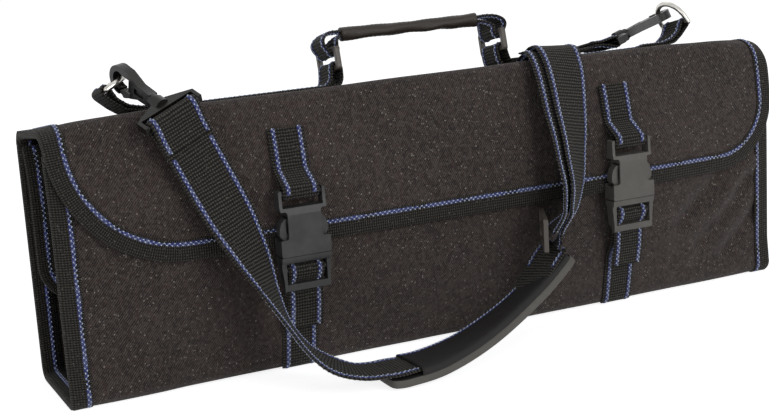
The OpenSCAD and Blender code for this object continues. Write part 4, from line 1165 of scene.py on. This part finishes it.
def sleeveObject():
    # dark cover over the strap, open at both ends, resting on the pad along its edges
    last = padFrames[-1][4]
    w, rise = sleeve["width"] / 2, sleeve["rise"]
    half = [(-w, 0.0), (-w - 0.1, 1.2), (-w + 0.2, 2.6), (-w + 1.2, rise + 0.1), (-w * 0.6, rise + 0.35)]
    arch = half + [(0, rise + 0.45)] + [(-a, h) for a, h in half[::-1]]
    spread = lengths(arch)
    columns, uv, edges, ups = [], [], [], []
    for centre, across, normal, width, run in padFrames:
        if sleeve["from"] * last <= run <= sleeve["to"] * last:
            narrow = min(1, width / sleeve["over"])
            columns.append([centre + across * (a * narrow) - normal * (sleeve["top"] + h) for a, h in arch])
            uv.append([(q * mm, run * mm) for q in spread])
            edges.append(centre + across * ((w - sleeve["seam"]) * narrow) - normal * (sleeve["top"] + rise + 1.25))
            ups.append(-normal)
    sew("shoulder_pad", edges, ups)
    return sheetObject("padSleeve", columns, uv, "padCover", sleeve["cloth"], 1.0)


finishPiece(sleeveObject(), "shoulder_pad", [])
print("shoulder pad made")


# moulded and metal parts: softened copies of the CAD solids
soft = {"weld": 2e-6, "flatAngle": 1.5, "sharpAngle": 32, "segments": 2}


def softCopy(node, material, bevel):
    source = frame["nodes"][node]
    work = bmesh.new()
    work.from_mesh(source.data)
    work.transform(source.matrix_world)
    bmesh.ops.remove_doubles(work, verts=work.verts, dist=soft["weld"])
    flat = math.radians(soft["flatAngle"])
    bmesh.ops.dissolve_limit(work, angle_limit=flat, verts=work.verts, edges=work.edges)
    name = node[0] + joined(node)[1:]
    mesh = bpy.data.meshes.new(name)
    work.to_mesh(mesh)
    work.free()
    mesh.materials.clear()
    mesh.materials.append(finish[material])
    for poly in mesh.polygons:
        poly.use_smooth, poly.material_index = True, 0
    obj = placed(name, mesh)
    if bevel:
        edge = obj.modifiers.new("softEdge", "BEVEL")
        edge.width, edge.segments = bevel * mm, soft["segments"]
        edge.limit_method, edge.angle_limit = "ANGLE", math.radians(soft["sharpAngle"])
    obj.modifiers.new("evenNormals", "WEIGHTED_NORMAL")
    finishPiece(applied(obj), body_of(source)[0], [node])


softened = (("darkBuckle", 0.55, "socket_left"), ("greyBuckle", 0.55, "socket_right"), ("darkBuckle", 0.5, "plug_left"),
            ("greyBuckle", 0.5, "plug_right"), ("darkBuckle", 0.3, "arm_left_a arm_left_b"),
            ("greyBuckle", 0.3, "arm_right_a arm_right_b"), ("ringPlastic", 0.5, "handle_ring_left handle_ring_right"),
            ("nickel", 0, "dring_left dring_right"), ("hookPlastic", 0.5, "hook_left hook_right"),
            ("gatePlastic", 0.25, "gate_left gate_right"), ("hookPlastic", 0.4, "swivel_left swivel_right"),
            ("ringPlastic", 0.45, "strap_slider"), ("innerCloth", 0.3, "pocket_panel front_pocket"),
            ("elastic", 0.15, "elastic_band"))
for material, bevel, names in softened:
    for node in names.split():
        softCopy(node, material, bevel)
print("moulded parts softened")

# stitches
stitching = {"Stitch Length": 0.003, "Stitch Width": 0.0009, "Stitch Height": 0.0007, "Unevenness": 0.12, "Seed": 11}


def stitchTree():
    # one stitch on each point, turned along its seam and up from the cloth
    tree = bpy.data.node_groups.new("stitches", "GeometryNodeTree")
    n, face, ids = Nodes(tree), tree.interface, {}
    face.new_socket("Geometry", in_out="INPUT", socket_type="NodeSocketGeometry")
    for name, value in stitching.items():
        kind = "NodeSocketInt" if name == "Seed" else "NodeSocketFloat"
        socket = face.new_socket(name, in_out="INPUT", socket_type=kind)
        socket.default_value = value
        ids[name] = socket.identifier
    ids["Thread"] = face.new_socket("Thread", in_out="INPUT", socket_type="NodeSocketMaterial").identifier
    face.new_socket("Geometry", in_out="OUTPUT", socket_type="NodeSocketGeometry")
    given = n.add("NodeGroupInput").outputs
    size = n.out("ShaderNodeCombineXYZ", {"X": given["Stitch Length"], "Y": given["Stitch Width"],
                                          "Z": given["Stitch Height"]})
    ball = n.add("GeometryNodeMeshIcoSphere", {"Radius": 0.5, "Subdivisions": 1}).outputs["Mesh"]
    shaped = n.out("GeometryNodeTransform", {"Geometry": ball, "Scale": size})
    smooth = n.out("GeometryNodeSetShadeSmooth", {"Geometry": shaped})
    way, up, part = (n.add("GeometryNodeInputNamedAttribute", {"Name": name}, data_type="FLOAT_VECTOR")
                     .outputs["Attribute"] for name in ("along", "up", "size"))
    align = "FunctionNodeAlignRotationToVector"
    first = n.add(align, {"Vector": way}, axis="X").outputs["Rotation"]
    turned = n.add(align, {"Rotation": first, "Vector": up}, axis="Z", pivot_axis="X").outputs["Rotation"]
    least, most = n.calc("SUBTRACT", 1, given["Unevenness"]), n.plus(1, given["Unevenness"])
    vary = n.add("FunctionNodeRandomValue", {2: least, 3: most, "Seed": given["Seed"]}).outputs[1]
    sized = n.out("ShaderNodeVectorMath", {0: part, "Scale": vary}, operation="SCALE")
    each = n.out("GeometryNodeInstanceOnPoints", {"Points": given["Geometry"], "Instance": smooth, "Rotation": turned,
                                                  "Scale": sized})
    real = n.out("GeometryNodeRealizeInstances", {0: each})
    paint = n.out("GeometryNodeSetMaterial", {"Geometry": real, "Material": given["Thread"]})
    n.add("NodeGroupOutput", {0: paint})
    return tree, ids


tree, socketIds = stitchTree()
for home, rows in seams.items():
    mesh = bpy.data.meshes.new("points")
    mesh.from_pydata([tuple(row[0] * mm) for row in rows], [], [])
    for name, pick in (("along", 1), ("up", 2), ("size", 4)):
        layer = mesh.attributes.new(name, "FLOAT_VECTOR", "POINT")
        layer.data.foreach_set("vector", [c for row in rows for c in row[pick]])
    layer = mesh.attributes.new("shade", "FLOAT", "POINT")
    layer.data.foreach_set("value", [min(1, max(0, row[3] + random.uniform(-0.12, 0.12))) for row in rows])
    obj = placed("stitches" + joined(home), mesh)
    rule = obj.modifiers.new("stitches", "NODES")
    rule.node_group = tree
    for name, value in {**stitching, "Thread": finish["thread"]}.items():
        rule[socketIds[name]] = value
    finishFollower(applied(obj), home, [])
    print("stitches on", home, len(rows))
